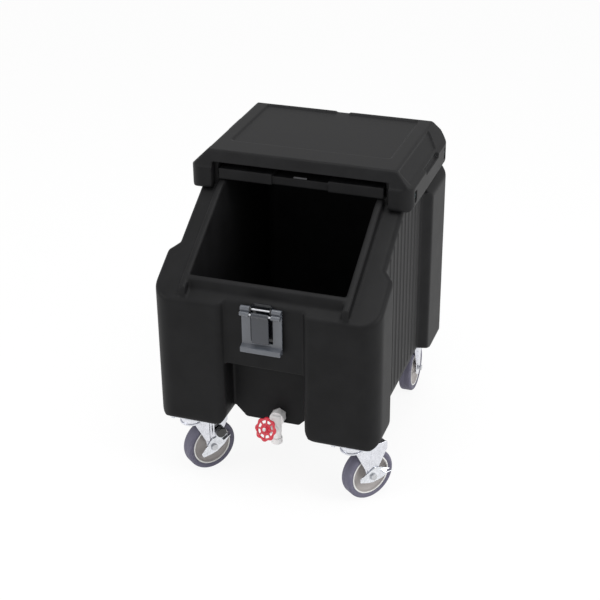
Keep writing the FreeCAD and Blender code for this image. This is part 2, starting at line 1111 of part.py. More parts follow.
def bevel_cuts():
    """Return the shallow panel and the finger slot in the right bevel."""
    edge = half_width - belt_proud
    run = edge - hood_plateau_half
    drop = bin_height - belt_top_z - belt_lift
    near = bevel_panel_width / 2
    panel = prism_z(
        [
            (-near, bevel_panel_front, bevel_panel_radius),
            (near, bevel_panel_front, bevel_panel_radius),
            (near, bevel_panel_back - bevel_panel_slant, bevel_panel_radius),
            (-near, bevel_panel_back, bevel_panel_radius),
        ],
        -bevel_panel_depth,
        bevel_panel_depth,
    )
    panel.rotate(ORIGIN, Y_AXIS, degrees(atan2(drop, run)))
    panel.translate(vec(edge - run / 2, 0, bin_height - drop / 2))
    slot = block(
        half_width - finger_slot_depth,
        half_width + overrun,
        finger_slot_front,
        finger_slot_back,
        belt_top_z - finger_slot_height,
        belt_top_z + belt_lift,
    )
    return [panel, slot]


def hood_bolt_pocket(y):
    """Return the pocket and the hole of one bolt in the right skirt."""
    floor_x = half_width - hood_pocket_depth
    pocket = prism_x(
        rectangle(
            y - hood_pocket_width / 2,
            y + hood_pocket_width / 2,
            hood_bolt_z - hood_pocket_height / 2,
            hood_bolt_z + hood_pocket_height / 2,
            hood_pocket_radius,
        ),
        floor_x,
        half_width + overrun,
    )
    start = vec(neck_half - overrun, y, hood_bolt_z)
    hole = rod(start, X_AXIS, hood_bolt_radius, half_width - neck_half)
    return pocket.fuse(hole)


def hood_foam():
    """Return the foam panel inside the hood's top."""
    low = hood_ceiling + hood_foam_lift
    return block(
        -hood_foam_half,
        hood_foam_half,
        hood_foam_front,
        hood_foam_back,
        low,
        low + hood_foam_thick,
    )


def hood(foam):
    """Return the hollow hood with its ears, recess and bolt pockets."""
    solid = hood_outer().cut(hood_inside())
    top = prism_z(
        rectangle(
            -top_recess_half,
            top_recess_half,
            top_recess_front,
            top_recess_back,
            top_recess_radius,
        ),
        bin_height - top_recess_depth,
        bin_height + overrun,
    )
    notch = block(
        -rear_notch_half,
        rear_notch_half,
        top_recess_back - overrun,
        hood_back_y + overrun,
        bin_height - top_recess_depth,
        bin_height + overrun,
    )
    cuts = [top, notch, foam]
    for piece in bevel_cuts() + [hood_bolt_pocket(hood_bolt_front), hood_bolt_pocket(hood_bolt_back)]:
        cuts.extend(both_sides(piece))
    for cut in cuts:
        solid = solid.cut(cut)
    return solid


def hood_bolts():
    """Return the four bolts of the hood as separate solids."""
    bolts = []
    floor_x = half_width - hood_pocket_depth
    for y in (hood_bolt_front, hood_bolt_back):
        shank = rod(vec(floor_x, y, hood_bolt_z), -X_AXIS, hood_bolt_radius, hood_bolt_length)
        head = rod(vec(floor_x, y, hood_bolt_z), X_AXIS, hood_bolt_head_radius, hood_bolt_head)
        top = vec(floor_x + hood_bolt_head, y, hood_bolt_z)
        socket = rod(top, -X_AXIS, hood_bolt_socket_radius, hood_bolt_socket_depth)
        bolts.extend(both_sides(shank.fuse(head).cut(socket)))
    return Part.makeCompound(bolts)


# Lid, drawn in its open place under the hood


def lid_rebate():
    """Return the right edge rebate that lets the lid pass over the rails' bend."""
    start = bend_y + lid_front_shoe
    end = bend_y + lid_length - lid_rear_shoe
    return block(
        opening_half - slide_gap,
        lid_half + overrun,
        start,
        end,
        rail_z - overrun,
        rail_z + seat_gap + lid_rebate_depth,
    )


def lid_foam():
    """Return the foam panel inside the lid."""
    low = rail_z + seat_gap + lid_foam_skin
    return block(
        -lid_foam_half,
        lid_foam_half,
        bend_y + lid_foam_margin,
        bend_y + lid_length - lid_foam_margin / 2,
        low,
        low + lid_foam_thick,
    )


def lid(foam):
    """Return the lid slab with its two raised front blocks."""
    low = rail_z + seat_gap
    top = low + lid_thick
    slab = prism_z(
        rectangle(-lid_half, lid_half, bend_y, bend_y + lid_length, lid_edge_radius),
        low,
        top,
    )
    slab = round_edges(slab, lid_edge_radius / 2, lambda p: p.z > top - seat_gap)
    centre = block(
        -lid_block_inner,
        lid_block_inner,
        bend_y - overrun,
        bend_y + lid_centre_inset,
        low - overrun,
        top + overrun,
    )
    dip = block(
        -lid_block_inner,
        lid_block_inner,
        bend_y - overrun,
        bend_y + lid_centre_length,
        top - lid_centre_drop,
        top + overrun,
    )
    solid = slab.cut(centre).cut(dip).cut(foam)
    for cut in both_sides(lid_rebate()) + keeper_holes():
        solid = solid.cut(cut)
    return solid


def keeper_spot():
    """Return the middle of the keeper's front lower edge."""
    return vec(0, bend_y + lid_centre_inset, rail_z + seat_gap + lid_thick - lid_centre_drop)


def keeper_holes():
    """Return the two holes that take the keeper's studs."""
    spot = keeper_spot()
    y = spot.y + keeper_length / 2
    holes = []
    for side in (-1, 1):
        base = vec(side * keeper_half / 2, y, spot.z - keeper_root)
        holes.append(rod(base, Z_AXIS, keeper_screw_radius, keeper_root + overrun))
    return holes


def lid_keeper():
    """Return the bar that the latch's hook catches, with its two studs."""
    spot = keeper_spot()
    bar = prism_x(
        rectangle(
            spot.y,
            spot.y + keeper_length,
            spot.z,
            spot.z + keeper_proud,
            keeper_edge_radius,
        ),
        -keeper_half,
        keeper_half,
    )
    for side in (-1, 1):
        base = vec(side * keeper_half / 2, spot.y + keeper_length / 2, spot.z - keeper_root)
        bar = bar.fuse(rod(base, Z_AXIS, keeper_screw_radius, keeper_root + keeper_proud / 2))
    return bar


# Latch on the front panel


def latch_pivot():
    """Return a point on the axis of the latch lever."""
    return vec(0, panel_y - latch_pivot_out, latch_pivot_z)


def strap_pivot():
    """Return a point on the axis of the latch strap."""
    pivot = latch_pivot()
    return vec(0, pivot.y - strap_pin_out, pivot.z - strap_pin_drop)


def cross_rod(point, radius, half):
    """Return a rod along X through a point, reaching half to each side."""
    return rod(point - X_AXIS * half, X_AXIS, radius, half * 2)


def latch_screw_spots():
    """Return where the four latch screws enter the panel."""
    side = latch_base_half - latch_screw_in
    spots = []
    for x in (-side, side):
        for z in (latch_low + latch_screw_in, latch_high - latch_screw_drop):
            spots.append(vec(x, panel_y, z))
    return spots


def latch_base():
    """Return the latch's base plate with its two lugs for the lever's pin."""
    face = panel_y - latch_plate
    plate = prism_y(
        rectangle(-latch_base_half, latch_base_half, latch_low, latch_high, latch_corner_radius),
        face,
        panel_y,
    )
    tab = prism_y(
        rectangle(-latch_tab_half, latch_tab_half, latch_pivot_z - latch_high, latch_tab_top, 0),
        face,
        panel_y,
    )
    tab = tab.common(block(-latch_half, latch_half, face, panel_y, latch_low + latch_lug, latch_tab_top))
    pivot = latch_pivot()
    reach = latch_barrel_radius
    outer = lever_arm_inner - latch_lug_gap
    lug = prism_x(
        [
            (face + latch_plate / 2, pivot.z - reach * 2, 0),
            (pivot.y - reach, pivot.z - reach, reach * latch_lug_round_share),
            (pivot.y - reach, pivot.z + reach, reach * latch_lug_round_share),
            (face + latch_plate / 2, pivot.z + reach, 0),
        ],
        outer - latch_lug,
        outer,
    )
    root = block(outer - latch_lug * 2, outer, face, panel_y, latch_high - reach, pivot.z + reach)
    solid = fuse([plate, tab] + both_sides(lug.fuse(root)))
    solid = solid.cut(cross_rod(pivot, latch_pin_radius, latch_half + overrun))
    for spot in latch_screw_spots():
        hole = rod(spot + Y_AXIS * overrun, -Y_AXIS, latch_screw_radius, latch_plate + overrun * 2)
        start = vec(spot.x, face - overrun, spot.z)
        seat = rod(start, Y_AXIS, latch_screw_head_radius, overrun + latch_screw_head)
        solid = solid.cut(hole).cut(seat)
    return solid


def latch_lever():
    """Return the lever: two arms, a cross bar and a finger ledge below."""
    pivot = latch_pivot()
    side = latch_half
    back = panel_y - latch_plate - lever_gap
    face = back - lever_thick
    strap_axis = strap_pivot()
    width = side - lever_arm_inner
    arm = block(lever_arm_inner, side, face, back, lever_low, pivot.z)
    bar = prism_x(
        [
            (back, lever_low, 0),
            (face - lever_ledge, lever_low, lever_round),
            (face - lever_ledge, lever_ledge_front, lever_round),
            (face, lever_ledge_top, lever_round),
            (face, lever_bar_top, 0),
            (back, lever_bar_top, 0),
        ],
        -side,
        side,
    )
    barrel = rod(vec(lever_arm_inner, pivot.y, pivot.z), X_AXIS, latch_barrel_radius, width)
    knuckle = rod(vec(lever_arm_inner, strap_axis.y, strap_axis.z), X_AXIS, strap_knuckle_radius, width)
    web = block(
        lever_arm_inner,
        side,
        strap_axis.y,
        back,
        strap_axis.z - strap_knuckle_radius / 2,
        strap_axis.z + strap_knuckle_radius / 2,
    )
    pieces = [bar]
    for piece in (arm, barrel, knuckle, web):
        pieces.extend(both_sides(piece))
    solid = fuse(pieces)
    reach = latch_half + overrun
    solid = solid.cut(cross_rod(pivot, latch_pin_radius + latch_fit, reach))
    return solid.cut(cross_rod(strap_axis, latch_pin_radius, reach))


def latch_strap():
    """Return the pull strap that hangs from the lever, with its hook at the tip."""
    axis = strap_pivot()
    half = strap_half
    face = axis.y - strap_thick / 2
    back = face + strap_thick
    tip = axis.z - strap_length
    tongue = prism_x(
        [
            (face, axis.z, 0),
            (face, tip + strap_tip, strap_tip / 2),
            (face + strap_tip / 2, tip, strap_tip / 2),
            (back + strap_hook / 2, tip, strap_tip / 2),
            (back + strap_hook / 2, tip + strap_hook_drop / 2, 0),
            (back, tip + strap_hook_drop, 0),
            (back, axis.z, 0),
        ],
        -half,
        half,
    )
    knuckle = cross_rod(axis, strap_knuckle_radius, half)
    solid = fuse([tongue, knuckle])
    return solid.cut(cross_rod(axis, latch_pin_radius + latch_fit, half + overrun))


def latch_screws():
    """Return the four latch screws as separate solids."""
    screws = []
    for spot in latch_screw_spots():
        seat = vec(spot.x, spot.y - latch_plate + latch_screw_head, spot.z)
        shank = rod(seat, Y_AXIS, latch_screw_radius, latch_screw_length - latch_screw_head)
        head = rod(seat, -Y_AXIS, latch_screw_head_radius, latch_screw_head)
        screws.append(shank.fuse(head))
    return Part.makeCompound(screws)


# Drain


def valve_axis():
    """Return a point on the valve barrel's upright axis, level with the drain."""
    return vec(drain_x, recess_y - valve_out, drain_z)


def stem_root():
    """Return where the stem's line starts, inside the valve's barrel."""
    return valve_axis() - Z_AXIS * stem_drop


def stem_axis():
    """Return the direction from the valve to the handwheel."""
    turn = radians(stem_azimuth)
    rise = radians(stem_rise)
    return vec(-sin(turn) * cos(rise), -cos(turn) * cos(rise), sin(rise))


def drain_start():
    """Return the middle of the pipe's inner end, in the sump."""
    return vec(drain_x, well_front_y + seat_gap + washer_thick + drain_flange, drain_z)


def drain_pipe():
    """Return the bulkhead pipe with its flange inside the sump."""
    start = drain_start()
    length = start.y - valve_axis().y - valve_bore
    pipe = rod(start, -Y_AXIS, drain_pipe_radius, length)
    flange = rod(start, -Y_AXIS, drain_flange_radius, drain_flange)
    bore = rod(start + Y_AXIS * overrun, -Y_AXIS, drain_bore, length + overrun * 2)
    return pipe.fuse(flange).cut(bore)


def drain_washer():
    """Return the sealing washer between the flange and the wall."""
    base = vec(drain_x, well_front_y + seat_gap, drain_z)
    return tube(base, Y_AXIS, washer_radius, drain_pipe_radius + seat_gap, washer_thick)


def hexagon(base, axis, radius, length):
    """Return a six-sided bar from base along axis, radius to its corners."""
    across = axis.cross(X_AXIS)
    across.normalize()
    corners = []
    for i in range(hexagon_sides):
        turn = FreeCAD.Rotation(axis, full_turn * i / hexagon_sides)
        corners.append(base + turn.multVec(across) * radius)
    face = Part.Face(Part.makePolygon(corners + [corners[0]]))
    return face.extrude(axis * length)


def drain_nut():
    """Return the lock nut outside the front wall."""
    base = vec(drain_x, recess_y, drain_z)
    nut = hexagon(base, -Y_AXIS, drain_nut_radius, drain_nut_thick)
    length = drain_nut_thick + overrun * 2
    inner = rod(base + Y_AXIS * overrun, -Y_AXIS, drain_pipe_radius + seat_gap, length)
    return nut.cut(inner)


def valve_body():
    """Return the valve body: collar, barrel, bonnet boss and spout."""
    centre = valve_axis()
    root = stem_root()
    axis = stem_axis()
    collar_base = vec(drain_x, recess_y - drain_nut_thick - seat_gap, drain_z)
    collar = rod(collar_base, -Y_AXIS, valve_collar_radius, valve_collar)
    collar = round_edges(collar, valve_collar_round, lambda p: p.y < collar_base.y - seat_gap)
    top = centre + Z_AXIS * valve_rise
    barrel = rod(top, -Z_AXIS, valve_radius, top.z - spout_low - spout_thread_length * 2)
    barrel = round_edges(barrel, valve_round, lambda p: p.z > top.z - seat_gap)
    boss = rod(root, axis, bonnet_collar_radius - valve_collar_round / 2, bonnet_start)
    spout = rod(top, -Z_AXIS, spout_radius, top.z - spout_low)
    thread_base = vec(centre.x, centre.y, spout_low)
    thread = rod(thread_base, Z_AXIS, spout_thread_radius, spout_thread_length)
    solid = fuse([collar, barrel, boss, spout.common(below(top.z - valve_round)), thread])
    chamber = rod(root, axis, disc_radius + disc_room, bonnet_start + overrun)
    passage = rod(centre, -Z_AXIS, valve_bore, centre.z - spout_low + overrun)
    inlet = rod(vec(drain_x, centre.y, drain_z), Y_AXIS, drain_bore, valve_out)
    socket = rod(vec(drain_x, centre.y + valve_bore, drain_z), Y_AXIS, drain_pipe_radius, valve_out)
    for cut in (chamber, passage, inlet, socket):
        solid = solid.cut(cut)
    return solid


def below(z):
    """Return all the space below a height."""
    return block(-bin_width, bin_width, -bin_depth, bin_depth, -bin_height, z)


def disc_reach():
    """Return how far the disc's sleeve reaches along the stem when it is furthest out."""
    return disc_start + disc_thick + disc_sleeve + disc_travel


def valve_bonnet():
    """Return the bonnet that guides the stem, with its gland nut in one piece."""
    axis = stem_axis()
    start = stem_root() + axis * bonnet_start
    collar = hexagon(start, axis, bonnet_collar_radius, bonnet_collar)
    barrel = rod(start, axis, bonnet_radius, bonnet_length)
    gland = rod(start + axis * bonnet_length, axis, gland_radius, gland_length)
    solid = fuse([collar, barrel, gland])
    room_depth = disc_reach() + disc_room - bonnet_start
    room = rod(start - axis * overrun, axis, disc_radius + disc_room, overrun + room_depth)
    hole_length = bonnet_length + gland_length + overrun * 2
    hole = rod(start - axis * overrun, axis, stem_radius + stem_fit, hole_length)
    return solid.cut(room).cut(hole)


def valve_disc():
    """Return the sealing disc with the sleeve that rides on the stem's tip."""
    axis = stem_axis()
    start = stem_root() + axis * disc_start
    disc = rod(start, axis, disc_radius, disc_thick)
    sleeve = rod(start, axis, disc_sleeve_radius, disc_thick + disc_sleeve)
    socket = rod(start + axis * disc_web, axis, stem_radius + stem_fit, disc_thick + disc_sleeve)
    return disc.fuse(sleeve).cut(socket)


def valve_stem():
    """Return the stem from the disc to the handwheel's hub."""
    axis = stem_axis()
    start = disc_start + disc_web + disc_travel + disc_room
    base = stem_root() + axis * start
    length = stem_reach - start
    stem = rod(base, axis, stem_radius, length)
    tip = base + axis * (length + overrun)
    hole = rod(tip, -axis, wheel_screw_radius, wheel_screw_length + overrun)
    return stem.cut(hole)


def drawn_wheel():
    """Return the handwheel lying flat at the origin, its axis along Z."""
    pieces = [
        Part.makeTorus(wheel_rim_radius, wheel_rim_tube),
        Part.makeTorus(wheel_web_radius, wheel_web_tube),
    ]
    for i in range(wheel_lobes):
        turn = 2 * pi * i / wheel_lobes
        spot = vec(cos(turn), sin(turn), 0) * wheel_rim_radius
        pieces.append(Part.makeSphere(wheel_lobe_radius, spot))
    hub_base = vec(0, 0, -wheel_hub_length / 2)
    pieces.append(rod(hub_base, Z_AXIS, wheel_hub_radius, wheel_hub_length))
    web_base = vec(0, 0, -wheel_spoke_thick / 2)
    pieces.append(rod(web_base, Z_AXIS, wheel_web_radius, wheel_spoke_thick))
    for i in range(wheel_spokes):
        spoke = block(
            wheel_hub_radius / 2,
            wheel_rim_radius,
            -wheel_spoke_width / 2,
            wheel_spoke_width / 2,
            -wheel_spoke_thick / 2,
            wheel_spoke_thick / 2,
        )
        spoke.rotate(ORIGIN, Z_AXIS, full_turn * i / wheel_spokes)
        pieces.append(spoke)
    solid = pieces[0]
    for piece in pieces[1:]:
        solid = solid.fuse(piece)
    bore = rod(hub_base - Z_AXIS * overrun, Z_AXIS, stem_radius, wheel_hub_length / 2 + overrun)
    through = rod(hub_base, Z_AXIS, wheel_screw_radius, wheel_hub_length + overrun)
    return solid.cut(bore).cut(through)


def to_stem(shape):
    """Turn a piece drawn along Z onto the stem and move it to the hub."""
    axis = stem_axis()
    placed_shape = shape.copy()
    hub = stem_root() + axis * stem_reach
    placed_shape.Placement = FreeCAD.Placement(hub, FreeCAD.Rotation(Z_AXIS, axis))
    return placed_shape


def handwheel():
    """Return the lobed handwheel on its stem."""
    return to_stem(drawn_wheel())


def handwheel_screw():
    """Return the screw that holds the handwheel on."""
    top = vec(0, 0, wheel_hub_length / 2)
    head = rod(top, Z_AXIS, wheel_screw_head_radius, wheel_screw_head)
    head = round_edges(head, wheel_screw_round, lambda p: p.z > top.z + seat_gap)
    shank = rod(top, -Z_AXIS, wheel_screw_radius, wheel_hub_length / 2 + wheel_screw_length)
    return to_stem(head.fuse(shank))


def drain_shelf():
    """Return the perforated shelf on its feet above the well's floor."""
    half = opening_half - shelf_margin
    near = well_front_y + shelf_margin
    far = well_back_y - shelf_margin
    low = well_floor + shelf_foot
    plate = prism_z(rectangle(-half, half, near, far, shelf_corner_radius), low, low + shelf_thick)
    room_x = half - shelf_hole_margin
    room_y = (far - near) / 2 - shelf_hole_margin
    middle = (far + near) / 2
    count_x = int(room_x / shelf_hole_pitch)
    count_y = int(room_y / shelf_hole_pitch)
    holes = []
    for i in range(-count_x, count_x + 1):
        for j in range(-count_y, count_y + 1):
            spot = vec(i * shelf_hole_pitch, middle + j * shelf_hole_pitch, low - overrun)
            holes.append(rod(spot, Z_AXIS, shelf_hole_radius, shelf_thick + overrun * 2))
    solid = plate.cut(holes)
    foot_x = half - shelf_foot_inset
    for x in (-foot_x, foot_x):
        for y in (near + shelf_foot_inset, far - shelf_foot_inset):
            foot = rod(vec(x, y, well_floor), Z_AXIS, shelf_foot_radius, shelf_foot + shelf_thick)
            solid = solid.fuse(foot)
    return solid


# Castors, drawn with the swivel axis at the origin and the trail along X


def tyre(trail):
    """Return the tread with its crowned face."""
    half = wheel_width / 2
    outline = [
        (tyre_inner_radius, -half + tyre_lip, 0),
        (wheel_radius - tyre_shoulder, -half, tyre_crown),
        (wheel_radius, -half / 2, tyre_shoulder),
        (wheel_radius, half / 2, tyre_shoulder),
        (wheel_radius - tyre_shoulder, half, tyre_crown),
        (tyre_inner_radius, half - tyre_lip, 0),
    ]
    return turned(outline, trail)


def turned(outline, trail):
    """Turn an outline of (radius, offset, rounding) about the axle's line."""
    face = rounded_face("XY", outline)
    face.translate(vec(trail, 0, wheel_radius))
    return face.revolve(vec(trail, 0, wheel_radius), Y_AXIS, full_turn)


def wheel_core(trail):
    """Return the wheel's core: hub, dished web and rim."""
    half = core_rim_half
    web = core_web / 2
    inner = tyre_inner_radius - core_rim
    hub = core_hub_radius
    outline = [
        (bush_radius, -core_hub_half, 0),
        (hub, -core_hub_half, 0),
        (hub, -web, core_dish_radius / 2),
        (inner, -web, core_dish_radius),
        (inner, -half, 0),
        (tyre_inner_radius, -half, 0),
        (tyre_inner_radius, half, 0),
        (inner, half, 0),
        (inner, web, core_dish_radius),
        (hub, web, core_dish_radius / 2),
        (hub, core_hub_half, 0),
        (bush_radius, core_hub_half, 0),
    ]
    return turned(outline, trail)


def wheel_bush(trail):
    """Return the bush between the axle and the wheel's hub."""
    outline = [
        (axle_radius + axle_fit, -bush_half, 0),
        (bush_radius, -bush_half, 0),
        (bush_radius, bush_half, 0),
        (axle_radius + axle_fit, bush_half, 0),
    ]
    return turned(outline, trail)


def fork_inside():
    """Return the distance from the wheel's middle to a fork leg."""
    return wheel_width / 2 + fork_gap


def fork_outside():
    """Return the distance from the wheel's middle to a leg's outer face."""
    return fork_inside() + fork_thick


def axle(trail):
    """Return the axle bolt with its head and nut."""
    half = fork_outside()
    centre = vec(trail, 0, wheel_radius)
    shank = rod(centre - Y_AXIS * (half + axle_head), Y_AXIS, axle_radius, (half + axle_head) * 2)
    head = hexagon(centre + Y_AXIS * half, Y_AXIS, axle_head_radius, axle_head)
    nut_base = centre - Y_AXIS * (half + brake_gap * 2 + brake_thick)
    nut = hexagon(nut_base, -Y_AXIS, axle_head_radius, axle_head)
    link = rod(centre, -Y_AXIS, axle_radius, half + brake_gap * 2 + brake_thick + axle_head)
    return fuse([shank, head, nut, link])


def fork_leg(trail, top):
    """Return one fork leg, wide at its top and round about the axle, with its pressed rib."""
    foot = fork_foot_radius
    front = trail - fork_top_front
    back = trail + fork_top_back
    outline = [
        (front, top, 0),
        (trail - foot, wheel_radius + foot, foot * 2),
        (trail - foot, wheel_radius - foot, foot * fork_foot_round_share),
        (trail + foot, wheel_radius - foot, foot * fork_foot_round_share),
        (trail + foot, wheel_radius + foot, foot * 2),
        (back, top - fork_shoulder, fork_shoulder / 2),
        (back, top, fork_crown),
    ]
    leg = prism_y(outline, fork_inside(), fork_outside())
    low = vec(trail - fork_rib_front, fork_outside(), wheel_radius + fork_rib_inset)
    reach = top - low.z
    rib = rod(low, Z_AXIS, fork_rib_radius, reach)
    rib = rib.fuse(Part.makeSphere(fork_rib_radius, low))
    outside = fork_outside() - fork_thick / 2
    rib = rib.common(block(-bin_width, bin_width, outside, bin_depth, -bin_height, top))
    return leg.fuse(rib)


def fork(trail):
    """Return the swivel fork: crown, ball seat and two legs."""
    top = fork_crown_z
    crown_low = top - fork_crown
    crown = prism_z(
        rectangle(
            trail - fork_top_front,
            trail + fork_top_back - fork_crown,
            -fork_outside(),
            fork_outside(),
            0,
        ),
        crown_low,
        top,
    )
    disc = rod(vec(0, 0, crown_low), Z_AXIS, fork_crown_radius, fork_crown)
    leg = fork_leg(trail, top)
    other = leg.mirror(ORIGIN, Y_AXIS)
    solid = fuse([crown, disc, leg, other])
    centre = vec(trail, 0, wheel_radius)
    reach = fork_outside() + overrun
    solid = solid.cut(rod(centre - Y_AXIS * reach, Y_AXIS, axle_radius, reach * 2))
    base = vec(0, 0, crown_low - overrun)
    bore = rod(base, Z_AXIS, kingpin_radius + kingpin_fit, fork_crown + overrun * 2)
    return solid.cut(bore)


def plate_holes(turn):
    """Return the four bolt holes of a top plate, turned about the castor's middle."""
    holes = []
    depth = castor_height - fork_crown_z
    for spot in castor_bolt_spots(0, 0):
        hole = rod(spot - Z_AXIS * depth, Z_AXIS, castor_bolt_radius, depth + overrun)
        hole.rotate(ORIGIN, Z_AXIS, turn)
        holes.append(hole)
    return holes


def top_plate():
    """Return the top plate of a swivel castor with its raised ball track."""
    low = castor_height - plate_thick
    plate = prism_z(
        rectangle(
            -plate_length / 2,
            plate_length / 2,
            -plate_width / 2,
            plate_width / 2,
            plate_corner_radius,
        ),
        low,
        castor_height,
    )
    track = rod(vec(0, 0, low - race_cup / 2), Z_AXIS, race_radius, race_cup / 2)
    solid = plate.fuse(track)
    for hole in plate_holes(0):
        solid = solid.cut(hole)
    bore = rod(vec(0, 0, low - race_cup), Z_AXIS, kingpin_radius, race_cup + plate_thick + overrun)
    return solid.cut(bore)


def ball_race():
    """Return the ball race between the top plate and the fork's crown."""
    low = fork_crown_z + seat_gap
    high = castor_height - plate_thick - race_cup / 2
    return tube(vec(0, 0, low), Z_AXIS, race_radius + race_ball_radius, race_seat_radius, high - low)


def kingpin():
    """Return the kingpin with its head under the crown."""
    low = fork_crown_z - fork_crown - seat_gap
    pin = rod(vec(0, 0, low), Z_AXIS, kingpin_radius, castor_height - low)
    head = rod(vec(0, 0, low), -Z_AXIS, kingpin_head_radius, kingpin_head)
    return pin.fuse(head)


def rigid_bracket():
    """Return the bracket of a rigid castor: top plate and two legs in one piece."""
    low = castor_height - plate_thick
    plate = prism_z(
        rectangle(
            -plate_width / 2,
            plate_width / 2,
            -plate_length / 2,
            plate_length / 2,
            plate_corner_radius,
        ),
        low,
        castor_height,
    )
    leg = fork_leg(0, low)
    solid = fuse([plate, leg, leg.mirror(ORIGIN, Y_AXIS)])
    for hole in plate_holes(rear_castor_angle):
        solid = solid.cut(hole)
    centre = vec(0, 0, wheel_radius)
    reach = fork_outside() + overrun
    return solid.cut(rod(centre - Y_AXIS * reach, Y_AXIS, axle_radius, reach * 2))


def brake_lever(trail, angle, knob):
    """Return a brake lever outside the fork, raised by an angle from level."""
    near = -(fork_outside() + brake_gap)
    soft = brake_tail_half
    outline = [
        (-brake_tail, -brake_tail_half, brake_tip_round),
        (-brake_shoulder, -brake_arm_low, soft),
        (0, -brake_belly, soft),
        (brake_arm_along, -brake_arm_low, soft),
        (brake_reach, -brake_tip_half, brake_tip_round),
        (brake_reach, brake_tip_half, brake_tip_round),
        (brake_arm_along, brake_arm_high, soft),
        (brake_hump_along, brake_hump, soft),
        (-brake_shoulder, brake_arm_low, soft),
        (-brake_tail, brake_tail_half, brake_tip_round),
    ]
    lever = prism_y(outline, near - brake_thick, near)
    pedal = block(
        brake_reach - brake_pedal_length,
        brake_reach,
        near - brake_thick - brake_pedal_out,
        near - brake_thick / 2,
        brake_tip_half - brake_thick,
        brake_tip_half,
    )
    lever = lever.fuse(pedal)
    if knob:
        lever = lever.fuse(knob_tab(near))
        lever = lever.cut(rod(knob_root(near), -Y_AXIS, brake_stud_radius, brake_thick + overrun))
    hole_start = vec(0, near + overrun, 0)
    lever = lever.cut(rod(hole_start, -Y_AXIS, axle_radius + axle_fit, brake_thick + overrun * 2))
    lever.rotate(ORIGIN, Y_AXIS, -angle)
    lever.translate(vec(trail, 0, wheel_radius))
    return lever


def knob_root(near):
    """Return where the knob's stud starts at the lever's inner face."""
    return vec(brake_knob_along, near, brake_knob_high)


def knob_tab(near):
    """Return the tab that rises from the lever to the knob."""
    low = brake_arm_along - brake_tab_half
    high = brake_knob_along + brake_tab_half
    top = brake_knob_high + brake_tab_half
    outline = [
        (low, 0, 0),
        (brake_knob_along, 0, 0),
        (high, brake_knob_high - brake_tab_half, brake_tab_half),
        (high, top, brake_tab_half),
        (low, top, brake_tab_half),
    ]
    return prism_y(outline, near - brake_thick, near)


def brake_knob(trail, angle):
    """Return the round knob on the left brake lever, with the stud that holds it."""
    near = -(fork_outside() + brake_gap)
    root = knob_root(near)
    stud = rod(root, -Y_AXIS, brake_stud_radius, brake_thick)
    grip = rod(root - Y_AXIS * brake_thick, -Y_AXIS, brake_knob_radius, brake_knob_length)
    face = near - brake_thick - seat_gap
    grip = round_edges(grip, brake_knob_round, lambda p: p.y < face)
    knob = stud.fuse(grip)
    knob.rotate(ORIGIN, Y_AXIS, -angle)
    knob.translate(vec(trail, 0, wheel_radius))
    return knob


def castor_bolts():
    """Return the castor bolts as separate solids."""
    bolts = []
    for _, x, y in castor_spots():
        for spot in castor_bolt_spots(x, y):
            seat = spot - Z_AXIS * plate_thick
            shank = rod(seat, Z_AXIS, castor_bolt_radius, castor_bolt_length)
            head = hexagon(seat, -Z_AXIS, castor_bolt_head_radius, castor_bolt_head)
            bolts.append(shank.fuse(head))
    return Part.makeCompound(bolts)


def placed(shape, x, y, turn):
    """Turn a castor piece about its swivel axis and move it under the bin."""
    copy = shape.copy()
    copy.rotate(ORIGIN, Z_AXIS, turn)
    copy.translate(vec(x, y, 0))
    return copy


def front_castor(name, x, y, brake_angle, knob):
    """Return the pieces of a front castor by name."""
    trail = castor_trail
    turned_pieces = {
        "ball_race": ball_race(),
        "kingpin": kingpin(),
        "fork": fork(trail),
        "axle": axle(trail),
        "wheel_core": wheel_core(trail),
        "bush": wheel_bush(trail),
        "tyre": tyre(trail),
        "brake_lever": brake_lever(trail, brake_angle, knob),
    }
    if knob:
        turned_pieces["brake_knob"] = brake_knob(trail, brake_angle)
    pieces = {name + "_top_plate": placed(top_plate(), x, y, 0)}
    for piece, shape in turned_pieces.items():
        pieces[name + "_" + piece] = placed(shape, x, y, castor_angle)
    return pieces


def rear_castor(name, x, y):
    """Return the pieces of a rear castor by name."""
    shapes = {
        "bracket": rigid_bracket(),
        "axle": axle(0),
        "wheel_core": wheel_core(0),
        "bush": wheel_bush(0),
        "tyre": tyre(0),
    }
    return {name + "_" + piece: placed(shape, x, y, rear_castor_angle) for piece, shape in shapes.items()}


def all_parts():
    """Return every piece by its name, in the bin's own frame."""
    body_core = foam_space()
    hood_core = hood_foam()
    lid_core = lid_foam()
    parts = {
        **bin_blocks(body_core),
        "body_foam": body_core,
        "hood": hood(hood_core),
        "hood_foam": hood_core,
        "hood_bolts": hood_bolts(),
        "lid": lid(lid_core),
        "lid_foam": lid_core,
        "lid_keeper": lid_keeper(),
        "latch_base": latch_base(),
        "latch_lever": latch_lever(),
        "latch_lever_pin": cross_rod(latch_pivot(), latch_pin_radius, latch_half),
        "latch_strap": latch_strap(),
        "latch_strap_pin": cross_rod(strap_pivot(), latch_pin_radius, latch_half),
        "latch_screws": latch_screws(),
        "drain_pipe": drain_pipe(),
        "drain_washer": drain_washer(),
        "drain_nut": drain_nut(),
        "valve_body": valve_body(),
        "valve_bonnet": valve_bonnet(),
        "valve_disc": valve_disc(),
        "valve_stem": valve_stem(),
        "handwheel": handwheel(),
        "handwheel_screw": handwheel_screw(),
        "drain_shelf": drain_shelf(),
        "castor_bolts": castor_bolts(),
    }
    spots = {name: (x, y) for name, x, y in castor_spots()}
    parts.update(front_castor("front_left", *spots["front_left"], brake_left_angle, True))
    parts.update(front_castor("front_right", *spots["front_right"], brake_right_angle, False))
    parts.update(rear_castor("rear_left", *spots["rear_left"]))
    parts.update(rear_castor("rear_right", *spots["rear_right"]))
    return parts


